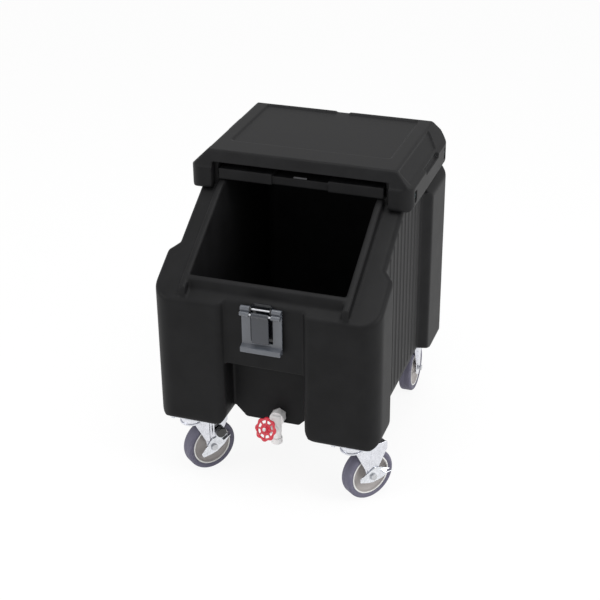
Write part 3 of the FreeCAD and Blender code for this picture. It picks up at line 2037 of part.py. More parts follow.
def main():
    """Build every piece, centre the whole over the origin and write the files."""
    os.makedirs("parts", exist_ok=True)
    parts = all_parts()
    box = FreeCAD.BoundBox()
    for shape in parts.values():
        box.add(shape.optimalBoundingBox(False, False))
    to_origin = vec(-(box.XMin + box.XMax) / 2, -(box.YMin + box.YMax) / 2, -box.ZMin)
    for name, shape in parts.items():
        shape.translate(to_origin)
        shape.exportStep(os.path.join("parts", name + ".step"))
    print("size", round(box.XLength, 1), round(box.YLength, 1), round(box.ZLength, 1))
    print("moved to the origin by", to_origin)


main()
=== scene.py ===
"""Looks of the mobile ice bin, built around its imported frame."""

from __future__ import annotations

import json
import logging
import math
from dataclasses import dataclass, field
from enum import Enum
from typing import Iterable, Sequence

import bmesh
import bpy
import numpy as np
from mathutils import Matrix, Vector, noise

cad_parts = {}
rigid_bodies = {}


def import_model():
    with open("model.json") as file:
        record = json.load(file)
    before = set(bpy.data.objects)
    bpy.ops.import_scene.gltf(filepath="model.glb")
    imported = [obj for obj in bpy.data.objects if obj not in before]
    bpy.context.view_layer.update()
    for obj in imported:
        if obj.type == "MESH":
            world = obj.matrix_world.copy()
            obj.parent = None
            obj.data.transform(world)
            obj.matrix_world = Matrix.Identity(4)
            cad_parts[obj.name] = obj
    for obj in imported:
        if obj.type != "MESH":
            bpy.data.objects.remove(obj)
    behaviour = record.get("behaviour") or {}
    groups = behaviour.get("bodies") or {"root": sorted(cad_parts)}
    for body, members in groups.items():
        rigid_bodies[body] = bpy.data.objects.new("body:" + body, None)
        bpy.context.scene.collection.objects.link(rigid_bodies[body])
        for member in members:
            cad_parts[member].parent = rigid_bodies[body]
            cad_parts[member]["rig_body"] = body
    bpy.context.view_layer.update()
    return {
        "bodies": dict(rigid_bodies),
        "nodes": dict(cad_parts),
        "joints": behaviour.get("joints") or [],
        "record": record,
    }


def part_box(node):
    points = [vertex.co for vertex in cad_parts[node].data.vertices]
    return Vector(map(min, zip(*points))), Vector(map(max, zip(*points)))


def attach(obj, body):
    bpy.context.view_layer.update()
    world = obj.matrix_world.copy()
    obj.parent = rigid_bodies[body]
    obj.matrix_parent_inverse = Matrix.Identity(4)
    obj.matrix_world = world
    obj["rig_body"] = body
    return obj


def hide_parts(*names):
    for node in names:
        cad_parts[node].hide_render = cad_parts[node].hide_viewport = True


LOG = logging.getLogger("ice_bin")
MM = 0.001
NODE_WELD = 1e-6
LATHE_WELD = 1e-7
PLASTIC_IOR = 1.5
MOSTLY = 0.9
WHITE = (1.0, 1.0, 1.0, 1.0)
UP = (0.0, 0.0, 1.0)
Colour = tuple[float, float, float]
Pair = tuple[float, float]


class Corner(Enum):
    """Where a castor stands; the names of its nodes start with the value."""

    FRONT_LEFT = "front_left"
    FRONT_RIGHT = "front_right"
    REAR_LEFT = "rear_left"
    REAR_RIGHT = "rear_right"

    @property
    def swivels(self) -> bool:
        """Whether the castor there swivels and has a brake."""
        return self in (Corner.FRONT_LEFT, Corner.FRONT_RIGHT)


class Wire:
    """A shader or geometry socket that works in Python expressions."""

    def __init__(self, pen: Pen, socket: bpy.types.NodeSocket) -> None:
        """Keep the socket and the pen that draws in its tree."""
        self.pen = pen
        self.socket = socket

    def _math(self, operation: str, *values: Wire | float) -> Wire:
        """Add one Math node.

        Args:
            operation: The node's operation.
            values: Its operands in order.

        Returns:
            The node's result.
        """
        return self.pen.add("ShaderNodeMath", {"operation": operation}, *values)

    def __add__(self, other: Wire | float) -> Wire:
        """Return self + other."""
        return self._math("ADD", self, other)

    __radd__ = __add__

    def __sub__(self, other: Wire | float) -> Wire:
        """Return self - other."""
        return self._math("SUBTRACT", self, other)

    def __rsub__(self, other: float) -> Wire:
        """Return other - self."""
        return self._math("SUBTRACT", other, self)

    def __mul__(self, other: Wire | float) -> Wire:
        """Return self * other."""
        return self._math("MULTIPLY", self, other)

    __rmul__ = __mul__

    def __truediv__(self, other: Wire | float) -> Wire:
        """Return self / other."""
        return self._math("DIVIDE", self, other)

    def __rtruediv__(self, other: float) -> Wire:
        """Return other / self."""
        return self._math("DIVIDE", other, self)

    def clamped(self) -> Wire:
        """Return self held between 0 and 1."""
        return self.pen.add("ShaderNodeClamp", {}, self)

    def band(self, low: float, high: float) -> Wire:
        """Return 0 below low, 1 above high and a smooth step between."""
        return self.pen.add(
            "ShaderNodeMapRange",
            {"interpolation_type": "SMOOTHSTEP"},
            Value=self,
            **{"From Min": low, "From Max": high},
        )


class Pen:
    """Draws nodes in one tree."""

    def __init__(self, tree: bpy.types.NodeTree) -> None:
        """Keep the tree."""
        self.tree = tree

    def node(self, kind: str, settings: dict, *values: object, **named: object) -> bpy.types.Node:
        """Add a node.

        Args:
            kind: The node's type.
            settings: Properties to set first.
            values: Inputs in order, as numbers, tuples or wires; None leaves one alone.
            named: Inputs by name.

        Returns:
            The node.
        """
        node = self.tree.nodes.new(kind)
        for key, value in settings.items():
            setattr(node, key, value)
        for index, value in enumerate(values):
            self._feed(node.inputs[index], value)
        for name, value in named.items():
            self._feed(node.inputs[name], value)
        return node

    def add(self, kind: str, settings: dict, *values: object, **named: object) -> Wire:
        """Add a node and return its first live output; the arguments are those of node."""
        node = self.node(kind, settings, *values, **named)
        return Wire(self, next(out for out in node.outputs if out.enabled))

    def _feed(self, socket: bpy.types.NodeSocket, value: object) -> None:
        """Set or link one input."""
        if value is None:
            return
        if isinstance(value, Wire):
            self.tree.links.new(value.socket, socket)
        elif isinstance(value, bpy.types.NodeSocket):
            self.tree.links.new(value, socket)
        else:
            socket.default_value = value


class Rule(Pen):
    """A geometry node tree with named sizes, grown once into a plain mesh."""

    SOCKETS = {int: "NodeSocketInt", float: "NodeSocketFloat"}

    def __init__(self, name: str, finish: bpy.types.Material, **sizes: float | int) -> None:
        """Start a tree.

        Args:
            name: The tree's name.
            finish: The material that its result wears.
            sizes: The tree's named sizes; a whole number makes a count.
        """
        super().__init__(bpy.data.node_groups.new(name, "GeometryNodeTree"))
        self.values = {"Finish": finish, **sizes}
        face = self.tree.interface
        face.new_socket("Geometry", in_out="OUTPUT", socket_type="NodeSocketGeometry")
        face.new_socket("Geometry", in_out="INPUT", socket_type="NodeSocketGeometry")
        for key, value in self.values.items():
            kind = self.SOCKETS.get(type(value), "NodeSocketMaterial")
            face.new_socket(key, in_out="INPUT", socket_type=kind)
        self.given = self.node("NodeGroupInput", {})

    def __getitem__(self, name: str) -> Wire:
        """Return one of the tree's inputs."""
        return Wire(self, self.given.outputs[name])

    def vector(
        self, x: Wire | float = 0.0, y: Wire | float = 0.0, z: Wire | float = 0.0
    ) -> Wire:
        """Return a vector of three numbers."""
        return self.add("ShaderNodeCombineXYZ", {}, x, y, z)

    def moved(self, shape: Wire, by: Wire | None = None, turn: Wire | None = None) -> Wire:
        """Return a shape turned about the origin and then moved."""
        return self.add("GeometryNodeTransform", {}, shape, Translation=by, Rotation=turn)

    def joined(self, *shapes: Wire) -> Wire:
        """Return the shapes as one geometry."""
        node = self.node("GeometryNodeJoinGeometry", {})
        for shape in reversed(shapes):
            self.tree.links.new(shape.socket, node.inputs[0])
        return Wire(self, node.outputs[0])

    def drum(self, sides: int, radius: Wire | float, depth: Wire | float) -> Wire:
        """Return an upright prism about the origin."""
        return self.add("GeometryNodeMeshCylinder", {}, Vertices=sides, Radius=radius, Depth=depth)

    def ring(self, radius: Wire | float, tube: Wire | float, steps: int = 72) -> Wire:
        """Return a flat-lying ring of round section."""
        path = self.add("GeometryNodeCurvePrimitiveCircle", {}, Resolution=steps, Radius=radius)
        return self.tube(path, tube)

    def tube(
        self, path: Wire, radius: Wire | float, sides: int = 12, scale: Wire | None = None
    ) -> Wire:
        """Return a closed round tube along a path."""
        section = self.add("GeometryNodeCurvePrimitiveCircle", {}, Resolution=sides, Radius=radius)
        caps = {"Fill Caps": True}
        return self.add("GeometryNodeCurveToMesh", {}, path, section, Scale=scale, **caps)

    def around(self, shape: Wire, count: Wire) -> Wire:
        """Return a shape repeated evenly about Z."""
        points = self.add("GeometryNodeMeshLine", {}, Count=count, Offset=(0.0, 0.0, 0.0))
        index = self.add("GeometryNodeInputIndex", {})
        turn = self.vector(z=index * math.tau / count)
        return self.add("GeometryNodeInstanceOnPoints", {}, points, Instance=shape, Rotation=turn)

    def grow(self, shape: Wire, seed: bpy.types.Mesh | None = None) -> bpy.types.Mesh:
        """End the tree and work it out.

        Args:
            shape: What the tree makes.
            seed: The mesh that comes in as Geometry, if the tree uses one.

        Returns:
            The result as a plain mesh.
        """
        real = self.add("GeometryNodeRealizeInstances", {}, shape)
        worn = self.add("GeometryNodeSetMaterial", {}, real, Material=self["Finish"])
        self.node("NodeGroupOutput", {}, worn)
        obj = linked("work", seed or bpy.data.meshes.new("seed"))
        modifier = obj.modifiers.new("rule", "NODES")
        modifier.node_group = self.tree
        for item in self.tree.interface.items_tree:
            if item.in_out == "INPUT" and item.name in self.values:
                modifier[item.identifier] = self.values[item.name]
        return evaluated(obj)


class Paint(Pen):
    """Draws one material around a Principled shader."""

    def __init__(self, name: str, **constants: object) -> None:
        """Start a material.

        Args:
            name: The material's name.
            constants: Principled inputs that are the same all over.
        """
        self.material = bpy.data.materials.new(name)
        super().__init__(emptied(self.material))
        self.shader = self.node("ShaderNodeBsdfPrincipled", {})
        for key, value in constants.items():
            self._feed(self.shader.inputs[key.replace("_", " ")], value)
        self.node("ShaderNodeOutputMaterial", {}, self.shader.outputs[0])
        self.place = self.node("ShaderNodeTexCoord", {}).outputs["Object"]

    def noise(self, scale: float, detail: float = 2.0, roughness: float = 0.5) -> Wire:
        """Return noise from 0 to 1 on the piece, scale in cycles per metre."""
        fineness = {"Scale": scale, "Detail": detail, "Roughness": roughness}
        return self.add("ShaderNodeTexNoise", {}, Vector=self.place, **fineness)

    def cells(self, scale: float) -> Wire:
        """Return the distance to the nearest cell's middle, scale in cells per metre."""
        return self.add("ShaderNodeTexVoronoi", {}, Vector=self.place, Scale=scale)

    def mix(self, share: Wire, first: Colour, second: Colour) -> Wire:
        """Return a colour between first and second."""
        node = self.node("ShaderNodeMix", {"data_type": "RGBA", "clamp_factor": True}, share)
        self._feed(node.inputs[6], (*first, 1.0))
        self._feed(node.inputs[7], (*second, 1.0))
        return Wire(self, node.outputs[2])

    def bump(self, height: Wire, depth: float, strength: float = 1.0) -> None:
        """Let a height from 0 to 1 raise the surface by depth metres."""
        bump = self.add("ShaderNodeBump", {}, Strength=strength, Distance=depth, Height=height)
        self._feed(self.shader.inputs["Normal"], bump)

    def varies(self, **links: Wire) -> None:
        """Link wires to the shader's inputs by name."""
        for key, wire in links.items():
            self._feed(self.shader.inputs[key.replace("_", " ")], wire)


def lighter(colour: Colour, factor: float) -> Colour:
    """Return a colour multiplied by a factor and kept below 1."""
    return tuple(min(1.0, part * factor) for part in colour)


@dataclass(frozen=True)
class MouldedPlastic:
    """Moulded plastic with a fine grain and faint mottling."""

    name: str
    colour: Colour
    roughness: float = 0.5
    roughness_swing: float = 0.1
    specular: float = 0.13
    grain: float = 1400.0
    grain_depth: float = 0.00005
    mottle: float = 18.0
    mottle_swing: float = 0.25
    coat: float = 0.0
    cloud_detail: Pair = (4.0, 0.6)
    grain_detail: Pair = (3.0, 0.6)
    cloud_share: float = 0.7
    grain_share: float = 0.3
    shade_range: Pair = (0.25, 0.75)
    cloud_height: float = 0.5

    def build(self) -> bpy.types.Material:
        """Return the material."""
        shine = {"Specular_IOR_Level": self.specular, "Coat_Weight": self.coat}
        paint = Paint(self.name, IOR=PLASTIC_IOR, **shine)
        cloud = paint.noise(self.mottle, *self.cloud_detail)
        grain = paint.noise(self.grain, *self.grain_detail)
        shade = (cloud * self.cloud_share + grain * self.grain_share).band(*self.shade_range)
        paint.varies(
            Base_Color=paint.mix(
                shade,
                lighter(self.colour, 1.0 - self.mottle_swing),
                lighter(self.colour, 1.0 + self.mottle_swing),
            ),
            Roughness=self.roughness + (cloud - 0.5) * self.roughness_swing,
        )
        paint.bump(grain + cloud * self.cloud_height, self.grain_depth)
        return paint.material


@dataclass(frozen=True)
class PlatedSteel:
    """Plated steel: bright, faintly clouded and finely drawn."""

    name: str
    colour: Colour
    roughness: float = 0.28
    roughness_swing: float = 0.16
    cloud: float = 60.0
    scratch: float = 900.0
    scratch_depth: float = 0.00002
    cloud_detail: Pair = (4.0, 0.6)
    scratch_detail: float = 2.0
    spangles: float = 4.0
    cloud_share: float = 0.7
    spangle_share: float = 0.3
    shade_range: Pair = (0.2, 0.8)
    darkest: float = 0.78
    lightest: float = 1.08
    scratch_roughness: float = 0.06

    def build(self) -> bpy.types.Material:
        """Return the material."""
        paint = Paint(self.name, Metallic=1.0)
        cloud = paint.noise(self.cloud, *self.cloud_detail)
        fine = paint.noise(self.scratch, self.scratch_detail)
        spangle = paint.cells(self.cloud * self.spangles)
        shade = (cloud * self.cloud_share + spangle * self.spangle_share).band(*self.shade_range)
        dull = self.roughness + (cloud - 0.5) * self.roughness_swing
        paint.varies(
            Base_Color=paint.mix(
                shade, lighter(self.colour, self.darkest), lighter(self.colour, self.lightest)
            ),
            Roughness=dull + fine * self.scratch_roughness,
        )
        paint.bump(fine, self.scratch_depth)
        return paint.material


@dataclass(frozen=True)
class Enamel:
    """Glossy paint on cast metal, with orange peel."""

    name: str
    colour: Colour
    roughness: float = 0.3
    peel: float = 350.0
    peel_depth: float = 0.00012
    peel_detail: float = 2.0
    cloud_size: float = 6.0
    cloud_detail: float = 3.0
    darkest: float = 0.82
    lightest: float = 1.12
    cloud_roughness: float = 0.1
    coat: float = 0.5
    coat_roughness: float = 0.12

    def build(self) -> bpy.types.Material:
        """Return the material."""
        shine = {"Coat_Weight": self.coat, "Coat_Roughness": self.coat_roughness}
        paint = Paint(self.name, **shine, IOR=PLASTIC_IOR)
        peel = paint.noise(self.peel, self.peel_detail)
        cloud = paint.noise(self.peel / self.cloud_size, self.cloud_detail)
        paint.varies(
            Base_Color=paint.mix(
                cloud, lighter(self.colour, self.darkest), lighter(self.colour, self.lightest)
            ),
            Roughness=self.roughness + cloud * self.cloud_roughness,
        )
        paint.bump(peel, self.peel_depth)
        return paint.material


@dataclass(frozen=True)
class TreadRubber:
    """Cast tread with dust in its grain and scuffs on its face."""

    name: str
    colour: Colour
    dust: Colour
    roughness: float = 0.5
    grain: float = 700.0
    grain_detail: Pair = (3.0, 0.6)
    grain_depth: float = 0.00008
    specular: float = 0.4
    scuff_size: float = 12.0
    scuff_detail: Pair = (5.0, 0.7)
    scuff_range: Pair = (0.5, 0.8)
    most_dust: float = 0.6
    scuff_roughness: float = 0.2

    def build(self) -> bpy.types.Material:
        """Return the material."""
        paint = Paint(self.name, IOR=PLASTIC_IOR, Specular_IOR_Level=self.specular)
        grain = paint.noise(self.grain, *self.grain_detail)
        scuff = paint.noise(self.grain / self.scuff_size, *self.scuff_detail)
        dusty = scuff.band(*self.scuff_range) * self.most_dust
        paint.varies(
            Base_Color=paint.mix(dusty, self.colour, self.dust),
            Roughness=self.roughness + scuff * self.scuff_roughness,
        )
        paint.bump(grain + scuff, self.grain_depth)
        return paint.material


@dataclass(frozen=True)
class Foam:
    """Rigid foam with open cells."""

    name: str
    colour: Colour
    cell: float = 450.0
    cell_depth: float = 0.0003
    roughness: float = 0.9
    lightest: float = 1.1
    darkest: float = 0.7

    def build(self) -> bpy.types.Material:
        """Return the material."""
        paint = Paint(self.name, Roughness=self.roughness)
        cells = paint.cells(self.cell)
        paint.varies(
            Base_Color=paint.mix(
                cells, lighter(self.colour, self.lightest), lighter(self.colour, self.darkest)
            )
        )
        paint.bump(1.0 - cells, self.cell_depth)
        return paint.material


FINISHES = {
    "body_plastic": MouldedPlastic("bin_black", (0.0085, 0.0085, 0.009)),
    "hood_plastic": MouldedPlastic("hood_black", (0.009, 0.009, 0.0095), roughness=0.48),
    "lid_plastic": MouldedPlastic("lid_black", (0.009, 0.009, 0.0095), roughness=0.45),
    "foam": Foam("wall_foam", (0.78, 0.72, 0.52)),
    "keeper_metal": PlatedSteel("keeper_steel", (0.1, 0.1, 0.105), roughness=0.4),
    "hood_bolt": MouldedPlastic("bolt_coating", (0.006, 0.03, 0.034), 0.3, specular=0.5, coat=0.3),
    "latch_base": MouldedPlastic(
        "latch_base_black", (0.006, 0.007, 0.009), 0.25, specular=0.4, coat=0.3
    ),
    # The arms' blue-grey is lighter than the latch base and strap: partly the lever's own dark
    # tone, partly a painted highlight.
    "latch_arms": MouldedPlastic(
        "latch_arm_grey_painted_highlight", (0.07, 0.077, 0.092), 0.2, specular=0.6, coat=0.8, mottle_swing=0.12
    ),
    "latch_strap": MouldedPlastic(
        "latch_strap_grey", (0.02, 0.023, 0.031), 0.22, specular=0.5, coat=0.5, mottle_swing=0.12
    ),
    "latch_pin": PlatedSteel("latch_pin_steel", (0.62, 0.63, 0.66)),
    "valve_plastic": MouldedPlastic(
        "valve_white", (0.8, 0.79, 0.79), 0.35, mottle_swing=0.03, specular=0.5
    ),
    "seal_rubber": TreadRubber("washer_rubber", (0.02, 0.02, 0.021), (0.05, 0.05, 0.05)),
    "valve_metal": PlatedSteel("valve_brass", (0.72, 0.55, 0.26)),
    "handwheel_red": Enamel("handwheel_red", (0.56, 0.012, 0.035)),
    "bright_screw": PlatedSteel("screw_steel", (0.82, 0.82, 0.83)),
    "shelf_plastic": MouldedPlastic("shelf_black", (0.012, 0.012, 0.013)),
    "zinc": PlatedSteel("zinc_plate", (0.8, 0.81, 0.86), roughness=0.24),
    "castor_steel": PlatedSteel("axle_steel", (0.62, 0.63, 0.65)),
    "brake_chrome": PlatedSteel("brake_plate", (0.8, 0.82, 0.86), roughness=0.14),
    "core_plastic": MouldedPlastic(
        "core_grey", (0.36, 0.335, 0.325), 0.42, mottle_swing=0.08, specular=0.5
    ),
    "bush_plastic": MouldedPlastic("bush_white", (0.7, 0.7, 0.68), 0.4, mottle_swing=0.04),
    "tyre": TreadRubber("tread_grey", (0.115, 0.11, 0.155), (0.2, 0.195, 0.24)),
    "knob_plastic": MouldedPlastic(
        "knob_black", (0.012, 0.012, 0.013), 0.22, specular=0.5, coat=0.4
    ),
}


class Workshop:
    """Holds the frame and the finishes, and makes and hands over pieces."""

    def __init__(self, frame: dict) -> None:
        """Keep the frame and build every finish once."""
        self.frame = frame
        self.finish = {slot: finish.build() for slot, finish in FINISHES.items()}
        self.slot_of = {row["node"]: row["material_slot"] for row in frame["record"]["subparts"]}

    def body_of(self, node: str) -> str:
        """Return the name of the body that a node belongs to."""
        return self.frame["nodes"][node]["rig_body"]

    def middle(self, node: str) -> Vector:
        """Return the middle of a node's box."""
        low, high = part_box(node)
        return (low + high) / 2.0

    def copy_of(self, *nodes: str) -> bpy.types.Mesh:
        """Return a merged copy of nodes' meshes."""
        return as_mesh(merged_copy(*(self.frame["nodes"][node] for node in nodes)), "copy")

    def axis_of(self, joint: str) -> Vector:
        """Return the direction of a joint's axis."""
        rows = self.frame["record"]["behaviour"]["joints"]
        return Vector(next(row["axis"] for row in rows if row["name"] == joint))

    def foot_middle(self, node: str, height: float) -> Vector:
        """Return the middle of the corners that a node has in its lowest part."""
        mesh = self.frame["nodes"][node].data
        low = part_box(node)[0].z
        points = [v.co for v in mesh.vertices if v.co.z < low + height]
        return sum(points, Vector()) / len(points)

    def shell_feet(self, node: str) -> list[tuple[float, float, float]]:
        """Return the foot of each of a node's separate shells."""
        work = merged_copy(self.frame["nodes"][node])
        feet = []
        for shell in shells_of(work):
            points = np.array([v.co for v in shell])
            low, high = points.min(0), points.max(0)
            x, y, _ = (low + high) / 2.0
            feet.append((float(x), float(y), float(low[2])))
        work.free()
        return sorted(feet)

    def dress(self, *nodes: str) -> None:
        """Give nodes that stay their finishes."""
        for node in nodes:
            slot = self.slot_of[node]
            obj = self.frame["nodes"][node]
            obj.data.materials.clear()
            obj.data.materials.append(self.finish[slot])
            LOG.info("dressed %s in %s", node, slot)

    def add(
        self, name: str, mesh: bpy.types.Mesh, node: str, slot: str | None = None
    ) -> bpy.types.Object:
        """Make a piece that rides on a node's body.

        Args:
            name: The piece's name.
            mesh: Its mesh, in the row frame.
            node: The node whose body it rides on.
            slot: Its finish, or None for the node's own.

        Returns:
            The piece.
        """
        slot = slot or self.slot_of[node]
        obj = linked(name, mesh)
        mesh.materials.clear()
        mesh.materials.append(self.finish[slot])
        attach(obj, self.body_of(node))
        LOG.info("made %s with %d faces", name, len(mesh.polygons))
        return obj

    def stand_in(self, name: str, mesh: bpy.types.Mesh, *nodes: str) -> bpy.types.Object:
        """Make a piece that takes the place of nodes of one body and finish."""
        piece = self.add(name, mesh, nodes[0])
        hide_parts(*nodes)
        return piece


@dataclass(frozen=True)
class Softening:
    """How a node's edges are rounded: remeshed on a grid, smoothed and thinned.

    Attributes:
        grid: The grid's cell in metres.
        passes: How often the mesh is smoothed.
        most: About how many triangles are kept at most.
        ripple: How far the surface sinks in at most, in metres.
        ripple_size: How far apart the hollows are, in metres.
        pull: How far each pass moves a corner towards its neighbours, from 0 to 1.
    """

    grid: float
    passes: int = 4
    most: int = 60000
    ripple: float = 0.0
    ripple_size: float = 0.08
    pull: float = 0.5


def linked(name: str, data: bpy.types.ID) -> bpy.types.Object:
    """Return a new object, linked to the scene."""
    obj = bpy.data.objects.new(name, data)
    bpy.context.scene.collection.objects.link(obj)
    return obj


def emptied(owner: bpy.types.Material | bpy.types.World) -> bpy.types.NodeTree:
    """Return an owner's node tree with nothing in it."""
    owner.use_nodes = True
    owner.node_tree.nodes.clear()
    return owner.node_tree


def merged_copy(*nodes: bpy.types.Object) -> bmesh.types.BMesh:
    """Return nodes' triangles with each node's shared corners merged."""
    work = bmesh.new()
    for node in nodes:
        single = bmesh.new()
        single.from_mesh(node.data)
        bmesh.ops.remove_doubles(single, verts=single.verts, dist=NODE_WELD)
        mesh = as_mesh(single, "copy")
        work.from_mesh(mesh)
        bpy.data.meshes.remove(mesh)
    return work


def shells_of(work: bmesh.types.BMesh) -> list[list[bmesh.types.BMVert]]:
    """Return a mesh's separate shells, each as its corners."""
    unseen = set(work.verts)
    shells = []
    while unseen:
        stack = [unseen.pop()]
        shell = list(stack)
        while stack:
            for edge in stack.pop().link_edges:
                for vert in edge.verts:
                    if vert in unseen:
                        unseen.discard(vert)
                        stack.append(vert)
                        shell.append(vert)
        shells.append(shell)
    return shells


def largest_shell(mesh: bpy.types.Mesh) -> None:
    """Keep only the shell with the most corners, which drops the hollows inside it."""
    work = bmesh.new()
    work.from_mesh(mesh)
    shells = sorted(shells_of(work), key=len)
    for shell in shells[:-1]:
        bmesh.ops.delete(work, geom=shell, context="VERTS")
    work.to_mesh(mesh)
    work.free()


def evaluated(obj: bpy.types.Object) -> bpy.types.Mesh:
    """Return a plain mesh of an object with its modifiers, and delete the object."""
    graph = bpy.context.evaluated_depsgraph_get()
    mesh = bpy.data.meshes.new_from_object(obj.evaluated_get(graph))
    data = obj.data
    bpy.data.objects.remove(obj)
    if data.users == 0:
        bpy.data.meshes.remove(data)
    return mesh


def as_mesh(work: bmesh.types.BMesh, name: str) -> bpy.types.Mesh:
    """Return a bmesh as a plain mesh and free it."""
    mesh = bpy.data.meshes.new(name)
    work.to_mesh(mesh)
    work.free()
    return mesh


def softened(mesh: bpy.types.Mesh, how: Softening) -> bpy.types.Mesh:
    """Return a mesh's outer skin with its edges rounded.

    Args:
        mesh: One or more closed shells that touch or overlap.
        how: The grid, the smoothing and the triangle limit.

    Returns:
        A closed mesh.
    """
    obj = linked("work", mesh)
    remesh = obj.modifiers.new("grid", "REMESH")
    remesh.mode = "VOXEL"
    remesh.voxel_size = how.grid
    smooth = obj.modifiers.new("smooth", "SMOOTH")
    smooth.factor = how.pull
    smooth.iterations = how.passes
    mesh = evaluated(obj)
    largest_shell(mesh)
    if how.ripple:
        swell(mesh, how)
    count = sum(len(p.vertices) - 2 for p in mesh.polygons)
    obj = linked("work", mesh)
    if count > how.most:
        thin = obj.modifiers.new("thin", "DECIMATE")
        thin.ratio = how.most / count
    weigh = obj.modifiers.new("weigh", "WEIGHTED_NORMAL")
    weigh.keep_sharp = False
    obj.data.shade_smooth()
    return evaluated(obj)


def united(*meshes: bpy.types.Mesh) -> bpy.types.Mesh:
    """Return several meshes as one."""
    work = bmesh.new()
    for mesh in meshes:
        work.from_mesh(mesh)
    return as_mesh(work, "united")


def swell(mesh: bpy.types.Mesh, how: Softening) -> None:
    """Let a moulded wall sink in a little in places, as cooled plastic does."""
    count = len(mesh.vertices)
    places = np.empty(count * 3)
    normals = np.empty(count * 3)
    mesh.vertices.foreach_get("co", places)
    mesh.vertex_normals.foreach_get("vector", normals)
    places = places.reshape(-1, 3)
    # Noise from -1 to 1 becomes a depth from -1 to 0, so that no wall swells out.
    waves = np.array([noise.noise(place) - 1.0 for place in places / how.ripple_size]) / 2.0
    places += normals.reshape(-1, 3) * (waves * how.ripple)[:, None]
    mesh.vertices.foreach_set("co", places.ravel())
    mesh.update()


def lathe(profile: Sequence[Pair], steps: int) -> bmesh.types.BMesh:
    """Turn a closed profile about Z.

    Args:
        profile: The loop's points in order, each a radius and a height.
        steps: How many faces go round.

    Returns:
        The turned ring with outward faces.
    """
    work = bmesh.new()
    rings = []
    for radius, height in profile:
        ring = []
        for k in range(steps):
            angle = math.tau * k / steps
            x, y = radius * math.cos(angle), radius * math.sin(angle)
            ring.append(work.verts.new((x, y, height)))
        rings.append(ring)
    for low, high in zip(rings, rings[1:] + rings[:1]):
        for k in range(steps):
            j = (k + 1) % steps
            work.faces.new((low[k], low[j], high[j], high[k]))
    bmesh.ops.remove_doubles(work, verts=work.verts, dist=LATHE_WELD)
    bmesh.ops.recalc_face_normals(work, faces=work.faces)
    return work


def finished(work: bmesh.types.BMesh, name: str, place: Matrix) -> bpy.types.Mesh:
    """Return a bmesh as a smooth mesh, put in its place in the row frame."""
    work.transform(place)
    mesh = as_mesh(work, name)
    mesh.shade_smooth()
    return mesh


def frame_at(origin: Vector, up: Vector, along: Vector | None = None) -> Matrix:
    """Return the matrix whose Z is up and whose X is as near along as it can be."""
    z = up.normalized()
    x = along or (Vector((1, 0, 0)) if abs(z.x) < MOSTLY else Vector((0, 1, 0)))
    x = (x - z * x.dot(z)).normalized()
    y = z.cross(x)
    matrix = Matrix((x, y, z)).transposed().to_4x4()
    matrix.translation = origin
    return matrix


@dataclass
class Shell:
    """The moulded bin with its hood and lid."""

    shop: Workshop
    bin_blocks: tuple[str, ...] = ("bin_body", "bin_rear", "bin_base", "drain_sump", "hand_hold")
    body: Softening = Softening(2.6 * MM, 5, 190000, ripple=0.35 * MM, ripple_size=90 * MM)
    hood: Softening = Softening(2.0 * MM, 4, 150000, ripple=0.25 * MM, ripple_size=90 * MM)
    lid: Softening = Softening(1.6 * MM, 4, 90000, ripple=0.2 * MM, ripple_size=80 * MM)

    def build(self) -> None:
        """Make the shell's pieces and dress the rest."""
        skins = ((self.bin_blocks, self.body), (("hood",), self.hood), (("lid",), self.lid))
        for nodes, how in skins:
            mesh = softened(self.shop.copy_of(*nodes), how)
            self.shop.stand_in(nodes[0] + "_skin", mesh, *nodes)
        self.shop.dress("body_foam", "hood_foam", "lid_foam", "lid_keeper")
        self.shop.dress("hood_bolts", "drain_shelf")


@dataclass
class Latch:
    """The draw latch on the front panel."""

    shop: Workshop
    edges: Softening = Softening(0.55 * MM, 3, 90000)

    def build(self) -> None:
        """Round the latch's mouldings and dress its pins."""
        for node in ("latch_base", "latch_lever", "latch_strap"):
            mesh = softened(self.shop.copy_of(node), self.edges)
            self.shop.stand_in(node + "_moulding", mesh, node)
        self.shop.dress("latch_lever_pin", "latch_strap_pin", "latch_screws")


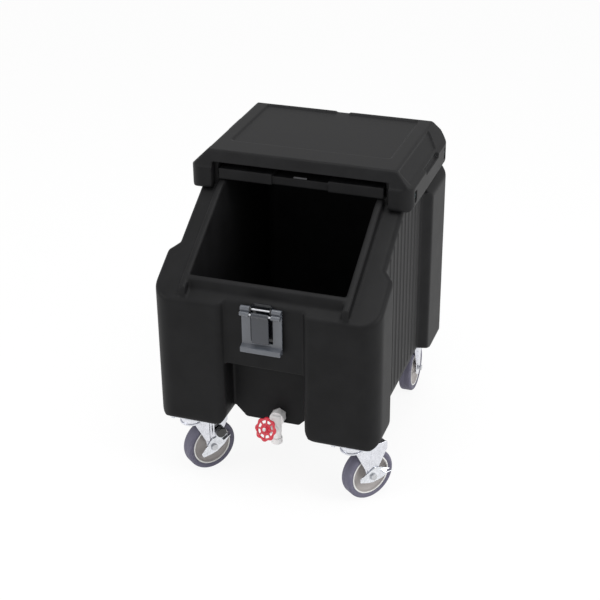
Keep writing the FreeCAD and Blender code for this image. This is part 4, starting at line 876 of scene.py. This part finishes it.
@dataclass
class Drain:
    """The drain pipe, valve and handwheel."""

    shop: Workshop
    casting: Softening = Softening(0.5 * MM, 3, 90000)
    wheel_casting: Softening = Softening(0.45 * MM, 4, 60000)
    stem_axis: tuple[float, float, float] = (-0.253726, -0.884846, 0.390731)
    rim_radius: float = 23.9 * MM
    rim_tube: float = 3.5 * MM
    rim_steps: int = 160
    rim_sides: int = 14
    lobes: int = 8
    lobe_swing: float = 0.035
    lobe_growth: float = 0.24
    inner_radius: float = 12.0 * MM
    inner_tube: float = 2.3 * MM
    spoke_radius: float = 2.2 * MM
    spoke_sides: int = 10
    hub_radius: float = 7.5 * MM
    hub_length: float = 10.0 * MM
    hub_sides: int = 32
    web_thick: float = 2.6 * MM
    web_sides: int = 48
    spout_foot: float = 2.0 * MM
    thread_radius: float = 12.9 * MM
    thread_tube: float = 0.75 * MM
    thread_turns: float = 5.0
    thread_height: float = 10.0 * MM
    thread_start: float = 1.5 * MM
    thread_steps: int = 40
    thread_sides: int = 8

    def build(self) -> None:
        """Round the castings, make the handwheel and thread, and dress the turned pieces."""
        mesh = softened(self.shop.copy_of("valve_body"), self.casting)
        self.shop.stand_in("valve_body_casting", mesh, "valve_body")
        mesh = softened(self._handwheel(), self.wheel_casting)
        mesh.transform(frame_at(self.shop.middle("handwheel"), Vector(self.stem_axis)))
        self.shop.stand_in("handwheel_casting", mesh, "handwheel")
        self._thread()
        self.shop.dress("drain_pipe", "drain_washer", "drain_nut")
        self.shop.dress("valve_bonnet", "valve_disc", "valve_stem", "handwheel_screw")

    def _handwheel(self) -> bpy.types.Mesh:
        """Return the lobed handwheel about the origin, its axis along Z."""
        rule = Rule(
            "handwheel_rule",
            self.shop.finish["handwheel_red"],
            Rim=self.rim_radius,
            Tube=self.rim_tube,
            Lobes=self.lobes,
            Swing=self.lobe_swing,
            Growth=self.lobe_growth,
            Inner=self.inner_radius,
            InnerTube=self.inner_tube,
            Spoke=self.spoke_radius,
            Hub=self.hub_radius,
            HubLength=self.hub_length,
            Web=self.web_thick,
        )
        path = rule.add(
            "GeometryNodeCurvePrimitiveCircle", {}, Resolution=self.rim_steps, Radius=rule["Rim"]
        )
        place = rule.add("GeometryNodeInputPosition", {})
        x, y, _ = rule.node("ShaderNodeSeparateXYZ", {}, place).outputs
        angle = rule.add("ShaderNodeMath", {"operation": "ARCTAN2"}, y, x)
        wave = rule.add("ShaderNodeMath", {"operation": "COSINE"}, angle * rule["Lobes"])
        swing = wave * rule["Swing"]
        moved = rule.add("ShaderNodeVectorMath", {"operation": "SCALE"}, place, Scale=swing)
        rim_path = rule.add("GeometryNodeSetPosition", {}, path, Offset=moved)
        growth = wave * rule["Growth"] + 1.0
        rim = rule.tube(rim_path, rule["Tube"], self.rim_sides, growth)
        inner = rule.ring(rule["Inner"], rule["InnerTube"])
        length = rule["Rim"]
        spoke = rule.moved(
            rule.drum(self.spoke_sides, rule["Spoke"], length),
            rule.vector(x=length / 2.0),
            rule.vector(y=math.pi / 2.0),
        )
        spokes = rule.around(spoke, rule["Lobes"])
        web = rule.drum(self.web_sides, rule["Inner"], rule["Web"])
        hub = rule.drum(self.hub_sides, rule["Hub"], rule["HubLength"])
        return rule.grow(rule.joined(rim, inner, spokes, web, hub))

    def _thread(self) -> None:
        """Wind the hose thread round the outlet."""
        rule = Rule(
            "thread_rule",
            self.shop.finish["valve_plastic"],
            Radius=self.thread_radius,
            Tube=self.thread_tube,
            Turns=self.thread_turns,
            Height=self.thread_height,
        )
        path = rule.add(
            "GeometryNodeCurveSpiral",
            {},
            Resolution=self.thread_steps,
            Rotations=rule["Turns"],
            Height=rule["Height"],
            **{"Start Radius": rule["Radius"], "End Radius": rule["Radius"]},
        )
        mesh = rule.grow(rule.tube(path, rule["Tube"], self.thread_sides))
        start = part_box("valve_body")[0].z + self.thread_start
        spout = self.shop.foot_middle("valve_body", self.spout_foot)
        mesh.transform(Matrix.Translation(Vector((spout.x, spout.y, start))))
        mesh.shade_smooth()
        self.shop.add("outlet_thread", mesh, "valve_body")


@dataclass
class Castor:
    """One castor; the front ones swivel and have brakes."""

    shop: Workshop
    corner: Corner
    axle: Vector = field(init=False)
    pressing: Softening = Softening(0.9 * MM, 3, 70000)
    tread_radius: float = 63.5 * MM
    tread_half: float = 16.0 * MM
    shoulder: float = 6.0 * MM
    shoulder_steps: int = 8
    bead_radius: float = 50.2 * MM
    step_radius: float = 55.0 * MM
    step: float = 0.9 * MM
    seam: float = 0.35 * MM
    seam_half: float = 0.5 * MM
    seam_edge: float = 1.2 * MM
    rim_radius: float = 50.0 * MM
    rim_inner: float = 45.5 * MM
    rim_half: float = 14.0 * MM
    rim_edge: float = 0.8 * MM
    lip: float = 1.2 * MM
    lip_start: Pair = (0.4 * MM, 0.3 * MM)
    lip_edge: float = 1.0 * MM
    web_half: float = 5.0 * MM
    hub_radius: float = 15.0 * MM
    hub_half: float = 17.5 * MM
    hub_edge: float = 1.5 * MM
    dish_steps: int = 15
    dish_power: float = 0.6
    bore: float = 9.0 * MM
    bore_edge: float = 0.5 * MM
    band_inner: float = 46.4 * MM
    band_height: float = 0.7 * MM
    band_gap: float = 0.1 * MM
    band_outer_edge: Pair = (0.5 * MM, 0.3 * MM)
    band_inner_edge: Pair = (0.5 * MM, 0.4 * MM)
    rib_low: float = 34.0 * MM
    rib_high: float = 74.0 * MM
    rib_apart: float = 3.6 * MM
    rib_tube: float = 1.3 * MM
    rib_sides: int = 10
    leg_face: float = 21.3 * MM
    steps: int = 128

    def __post_init__(self) -> None:
        """Work out where the axle points."""
        self.axle = self.shop.axis_of(self._named("wheel_spin"))

    def _named(self, part: str) -> str:
        """Return the name of one of the castor's own nodes or joints."""
        return f"{self.corner.value}_{part}"

    def build(self) -> None:
        """Round the pressings, turn the wheel and dress the rest."""
        swivels = self.corner.swivels
        for part in ("fork", "brake_lever", "top_plate") if swivels else ("bracket",):
            node = self._named(part)
            mesh = self.shop.copy_of(node)
            if part == "fork":
                mesh = united(mesh, self._ribs())
            self.shop.stand_in(node + "_pressing", softened(mesh, self.pressing), node)
        place = frame_at(self.shop.middle(self._named("tyre")), self.axle)
        for part, profile in (("tyre", self._tyre()), ("wheel_core", self._core())):
            node = self._named(part)
            mesh = finished(lathe(profile, self.steps), node, place)
            self.shop.stand_in(node + "_turned", mesh, node)
        self._band()
        plain = ["axle", "bush"]
        if swivels:
            plain += ["ball_race", "kingpin"]
        if self.corner is Corner.FRONT_LEFT:
            plain.append("brake_knob")
        self.shop.dress(*(self._named(part) for part in plain))

    def _place(self) -> Matrix:
        """Return the wheel's place, with its axle as Z and up as X."""
        return frame_at(self.shop.middle(self._named("tyre")), self.axle, Vector(UP))

    def _ribs(self) -> bpy.types.Mesh:
        """Return the upright ribs pressed into the fork's legs."""
        rule = Rule(
            "rib_rule",
            self.shop.finish["zinc"],
            Low=self.rib_low,
            High=self.rib_high,
            Apart=self.rib_apart,
            Tube=self.rib_tube,
            Face=self.leg_face,
        )
        ends = {"Start": rule.vector(rule["Low"]), "End": rule.vector(rule["High"])}
        path = rule.add("GeometryNodeCurvePrimitiveLine", {}, **ends)
        rib = rule.tube(path, rule["Tube"], self.rib_sides)
        ribs = [
            rule.moved(rib, rule.vector(y=rule["Apart"] * side, z=rule["Face"] * leg))
            for side in (-1.0, 1.0)
            for leg in (-1.0, 1.0)
        ]
        mesh = rule.grow(rule.joined(*ribs))
        mesh.transform(self._place())
        return mesh

    def _band(self) -> None:
        """Make the pale bands that edge the core on both sides."""
        low, high = self.rim_half - self.band_height, self.rim_half + self.band_height
        outer_in, outer_drop = self.band_outer_edge
        inner_out, inner_drop = self.band_inner_edge
        outer = self.rim_radius - self.band_gap
        sides = []
        for sign in (-1.0, 1.0):
            profile = [
                (self.band_inner, low * sign),
                (outer, low * sign),
                (outer, (high - outer_drop) * sign),
                (self.rim_radius - outer_in, high * sign),
                (self.band_inner + inner_out, high * sign),
                (self.band_inner, (high - inner_drop) * sign),
            ]
            sides.append(finished(lathe(profile, self.steps), "band", self._place()))
        mesh = united(*sides)
        mesh.shade_smooth()
        self.shop.add(self._named("core_band"), mesh, self._named("tyre"), "bush_plastic")

    @staticmethod
    def _mirrored(points: Sequence[Pair]) -> list[Pair]:
        """Return one side of a profile followed by its mirror image."""
        return list(points) + [(r, -h) for r, h in reversed(points) if h > 0]

    def _tyre(self) -> list[Pair]:
        """Return the tyre's section, from the bead over the tread and back."""
        points = [
            (self.bead_radius, self.tread_half - 2.0 * self.step),
            (self.bead_radius + self.step, self.tread_half - self.step),
            (self.step_radius, self.tread_half - self.step),
            (self.step_radius + self.step, self.tread_half),
        ]
        middle_r, middle_h = self.tread_radius - self.shoulder, self.tread_half - self.shoulder
        for k in range(self.shoulder_steps + 1):
            angle = math.pi / 2.0 * (1.0 - k / self.shoulder_steps)
            out, up = self.shoulder * math.cos(angle), self.shoulder * math.sin(angle)
            points.append((middle_r + out, middle_h + up))
        points += [
            (self.tread_radius, self.seam_edge),
            (self.tread_radius - self.seam, self.seam_half),
            (self.tread_radius - self.seam, 0.0),
        ]
        return self._mirrored(points)

    def _core(self) -> list[Pair]:
        """Return the core's section, from the bore over the hub, dish and rim."""
        points = [
            (self.bore, self.hub_half - self.bore_edge),
            (self.bore + self.bore_edge, self.hub_half),
            (self.hub_radius - self.hub_edge, self.hub_half),
            (self.hub_radius, self.hub_half - self.hub_edge),
        ]
        span = self.rim_inner - self.hub_radius
        for k in range(1, self.dish_steps + 1):
            part = k / self.dish_steps
            dish = 1.0 - math.sin(math.pi * part) ** self.dish_power
            height = self.web_half + (self.rim_half - self.lip - self.web_half) * dish * part
            height += (self.hub_half - self.hub_edge - self.web_half) * dish * (1.0 - part)
            points.append((self.hub_radius + span * part, height))
        lip_out, lip_drop = self.lip_start
        points += [
            (self.rim_inner + lip_out, self.rim_half - lip_drop),
            (self.rim_inner + self.lip_edge, self.rim_half),
            (self.rim_radius - self.rim_edge, self.rim_half),
            (self.rim_radius, self.rim_half - self.rim_edge),
        ]
        return self._mirrored(points)


@dataclass
class Bolts:
    """The bolts that hold the castors' plates."""

    shop: Workshop
    head_radius: float = 6.5 * MM
    head_height: float = 4.4 * MM
    head_sides: int = 6
    crown_share: float = 0.2
    crown_top: float = 0.86
    crown_foot: float = 0.6
    washer_radius: float = 8.0 * MM
    washer_height: float = 1.2 * MM
    shank_radius: float = 4.0 * MM
    length: float = 24.0 * MM
    washer_sides: int = 32
    round_sides: int = 24

    def build(self) -> None:
        """Put a washered hexagon head under every bolt's place."""
        rule = Rule(
            "bolt_rule",
            self.shop.finish["castor_steel"],
            Head=self.head_radius,
            Height=self.head_height,
            Washer=self.washer_radius,
            WasherHeight=self.washer_height,
            Shank=self.shank_radius,
            Length=self.length,
        )
        size, height, length = rule["Head"], rule["Height"], rule["Length"]
        head = rule.moved(rule.drum(self.head_sides, size, height), rule.vector(z=height / 2.0))
        ends = {"Radius Top": size * self.crown_top, "Radius Bottom": size * self.crown_foot}
        depth = height * self.crown_share
        crown = rule.moved(
            rule.add("GeometryNodeMeshCone", {}, Vertices=self.round_sides, Depth=depth, **ends),
            rule.vector(z=height * -self.crown_share),
        )
        washer = rule.moved(
            rule.drum(self.washer_sides, rule["Washer"], rule["WasherHeight"]),
            rule.vector(z=height + rule["WasherHeight"] / 2.0),
        )
        shank = rule.moved(
            rule.drum(self.round_sides, rule["Shank"], length), rule.vector(z=length / 2.0)
        )
        bolt = rule.joined(head, crown, washer, shank)
        places = self.shop.shell_feet("castor_bolts")
        seed = bpy.data.meshes.new("bolt_places")
        seed.from_pydata(places, [], [])
        points = rule.add("GeometryNodeInstanceOnPoints", {}, rule["Geometry"], Instance=bolt)
        self.shop.stand_in("castor_bolt_heads", rule.grow(points, seed), "castor_bolts")


@dataclass(frozen=True)
class View:
    """Where the photograph was taken from, in degrees and metres."""

    yaw: float = 19.15
    pitch: float = 27.64
    roll: float = -0.57
    distance: float = 3.365
    focal: float = 1388.0
    picture: float = 600.0
    sensor: float = 36.0
    target: tuple[float, float, float] = (-0.02046, -0.009745, 0.3644)

    def build(self) -> None:
        """Set up the scene's camera."""
        yaw, pitch, roll = (math.radians(a) for a in (self.yaw, self.pitch, self.roll))
        level = math.cos(pitch)
        ahead = Vector((-math.sin(yaw) * level, math.cos(yaw) * level, -math.sin(pitch)))
        right = Vector((math.cos(yaw), math.sin(yaw), 0.0))
        up = right.cross(ahead)
        turned_right = right * math.cos(roll) + up * math.sin(roll)
        turned_up = up * math.cos(roll) - right * math.sin(roll)
        data = bpy.data.cameras.new("view")
        data.sensor_width = self.sensor
        data.lens = self.focal / self.picture * self.sensor
        camera = linked("view", data)
        place = Matrix((turned_right, turned_up, -ahead)).transposed().to_4x4()
        place.translation = Vector(self.target) - ahead * self.distance
        camera.matrix_world = place
        bpy.context.scene.camera = camera


@dataclass(frozen=True)
class Lamp:
    """A soft rectangular lamp aimed at the bin."""

    name: str
    place: tuple[float, float, float]
    size: float
    power: float


@dataclass
class Studio:
    """Pale floor, pale surroundings and soft lamps."""

    lamps: tuple[Lamp, ...] = (
        Lamp("lamp_top", (0.2, -0.4, 2.6), 1.6, 26.0),
        Lamp("lamp_left", (-2.0, -1.6, 1.5), 1.2, 16.0),
        Lamp("lamp_right", (2.4, -0.4, 1.4), 1.2, 26.0),
    )
    aim: tuple[float, float, float] = (0.0, 0.0, 0.4)
    floor_half: float = 30.0
    floor_grey: float = 0.95
    floor_glow: float = 0.9
    around: float = 0.75

    def build(self) -> None:
        """Make the floor, the world and the lamps."""
        self._floor()
        self._world()
        for lamp in self.lamps:
            self._lamp(lamp)
        bpy.context.scene.view_settings.view_transform = "Standard"

    def _floor(self) -> None:
        """Make the floor, which shows white to the camera but keeps the shadow."""
        material = bpy.data.materials.new("floor_white")
        pen = Pen(emptied(material))
        matt = pen.add("ShaderNodeBsdfDiffuse", {}, (*[self.floor_grey] * 3, 1.0))
        glow = pen.add("ShaderNodeEmission", {}, WHITE, 1.0)
        path = pen.node("ShaderNodeLightPath", {})
        seen = Wire(pen, path.outputs["Is Camera Ray"]) + Wire(pen, path.outputs["Is Glossy Ray"])
        share = seen.clamped() * self.floor_glow
        mixed = pen.add("ShaderNodeMixShader", {}, share, matt, glow)
        pen.node("ShaderNodeOutputMaterial", {}, mixed)
        work = bmesh.new()
        bmesh.ops.create_grid(work, x_segments=1, y_segments=1, size=self.floor_half)
        mesh = as_mesh(work, "floor")
        mesh.materials.append(material)
        linked("floor", mesh)

    def _world(self) -> None:
        """Light the surroundings evenly and show them white to the camera."""
        world = bpy.data.worlds.new("surroundings")
        bpy.context.scene.world = world
        pen = Pen(emptied(world))
        path = pen.node("ShaderNodeLightPath", {})
        seen = Wire(pen, path.outputs["Is Camera Ray"])
        strength = seen * (1.0 - self.around) + self.around
        glow = pen.add("ShaderNodeBackground", {}, WHITE, strength)
        pen.node("ShaderNodeOutputWorld", {}, glow)

    def _lamp(self, lamp: Lamp) -> None:
        """Place one lamp."""
        data = bpy.data.lights.new(lamp.name, "AREA")
        data.size = lamp.size
        data.energy = lamp.power
        obj = linked(lamp.name, data)
        obj.location = lamp.place
        aim = Vector(self.aim) - Vector(lamp.place)
        obj.rotation_euler = aim.to_track_quat("-Z", "Y").to_euler()


def main() -> None:
    """Build every piece around the frame."""
    logging.basicConfig(level=logging.INFO, format="%(message)s")
    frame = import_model()
    shop = Workshop(frame)
    View().build()
    Studio().build()
    Shell(shop).build()
    Latch(shop).build()
    Drain(shop).build()
    for corner in Corner:
        Castor(shop, corner).build()
    Bolts(shop).build()


if __name__ == "__main__":
    main()
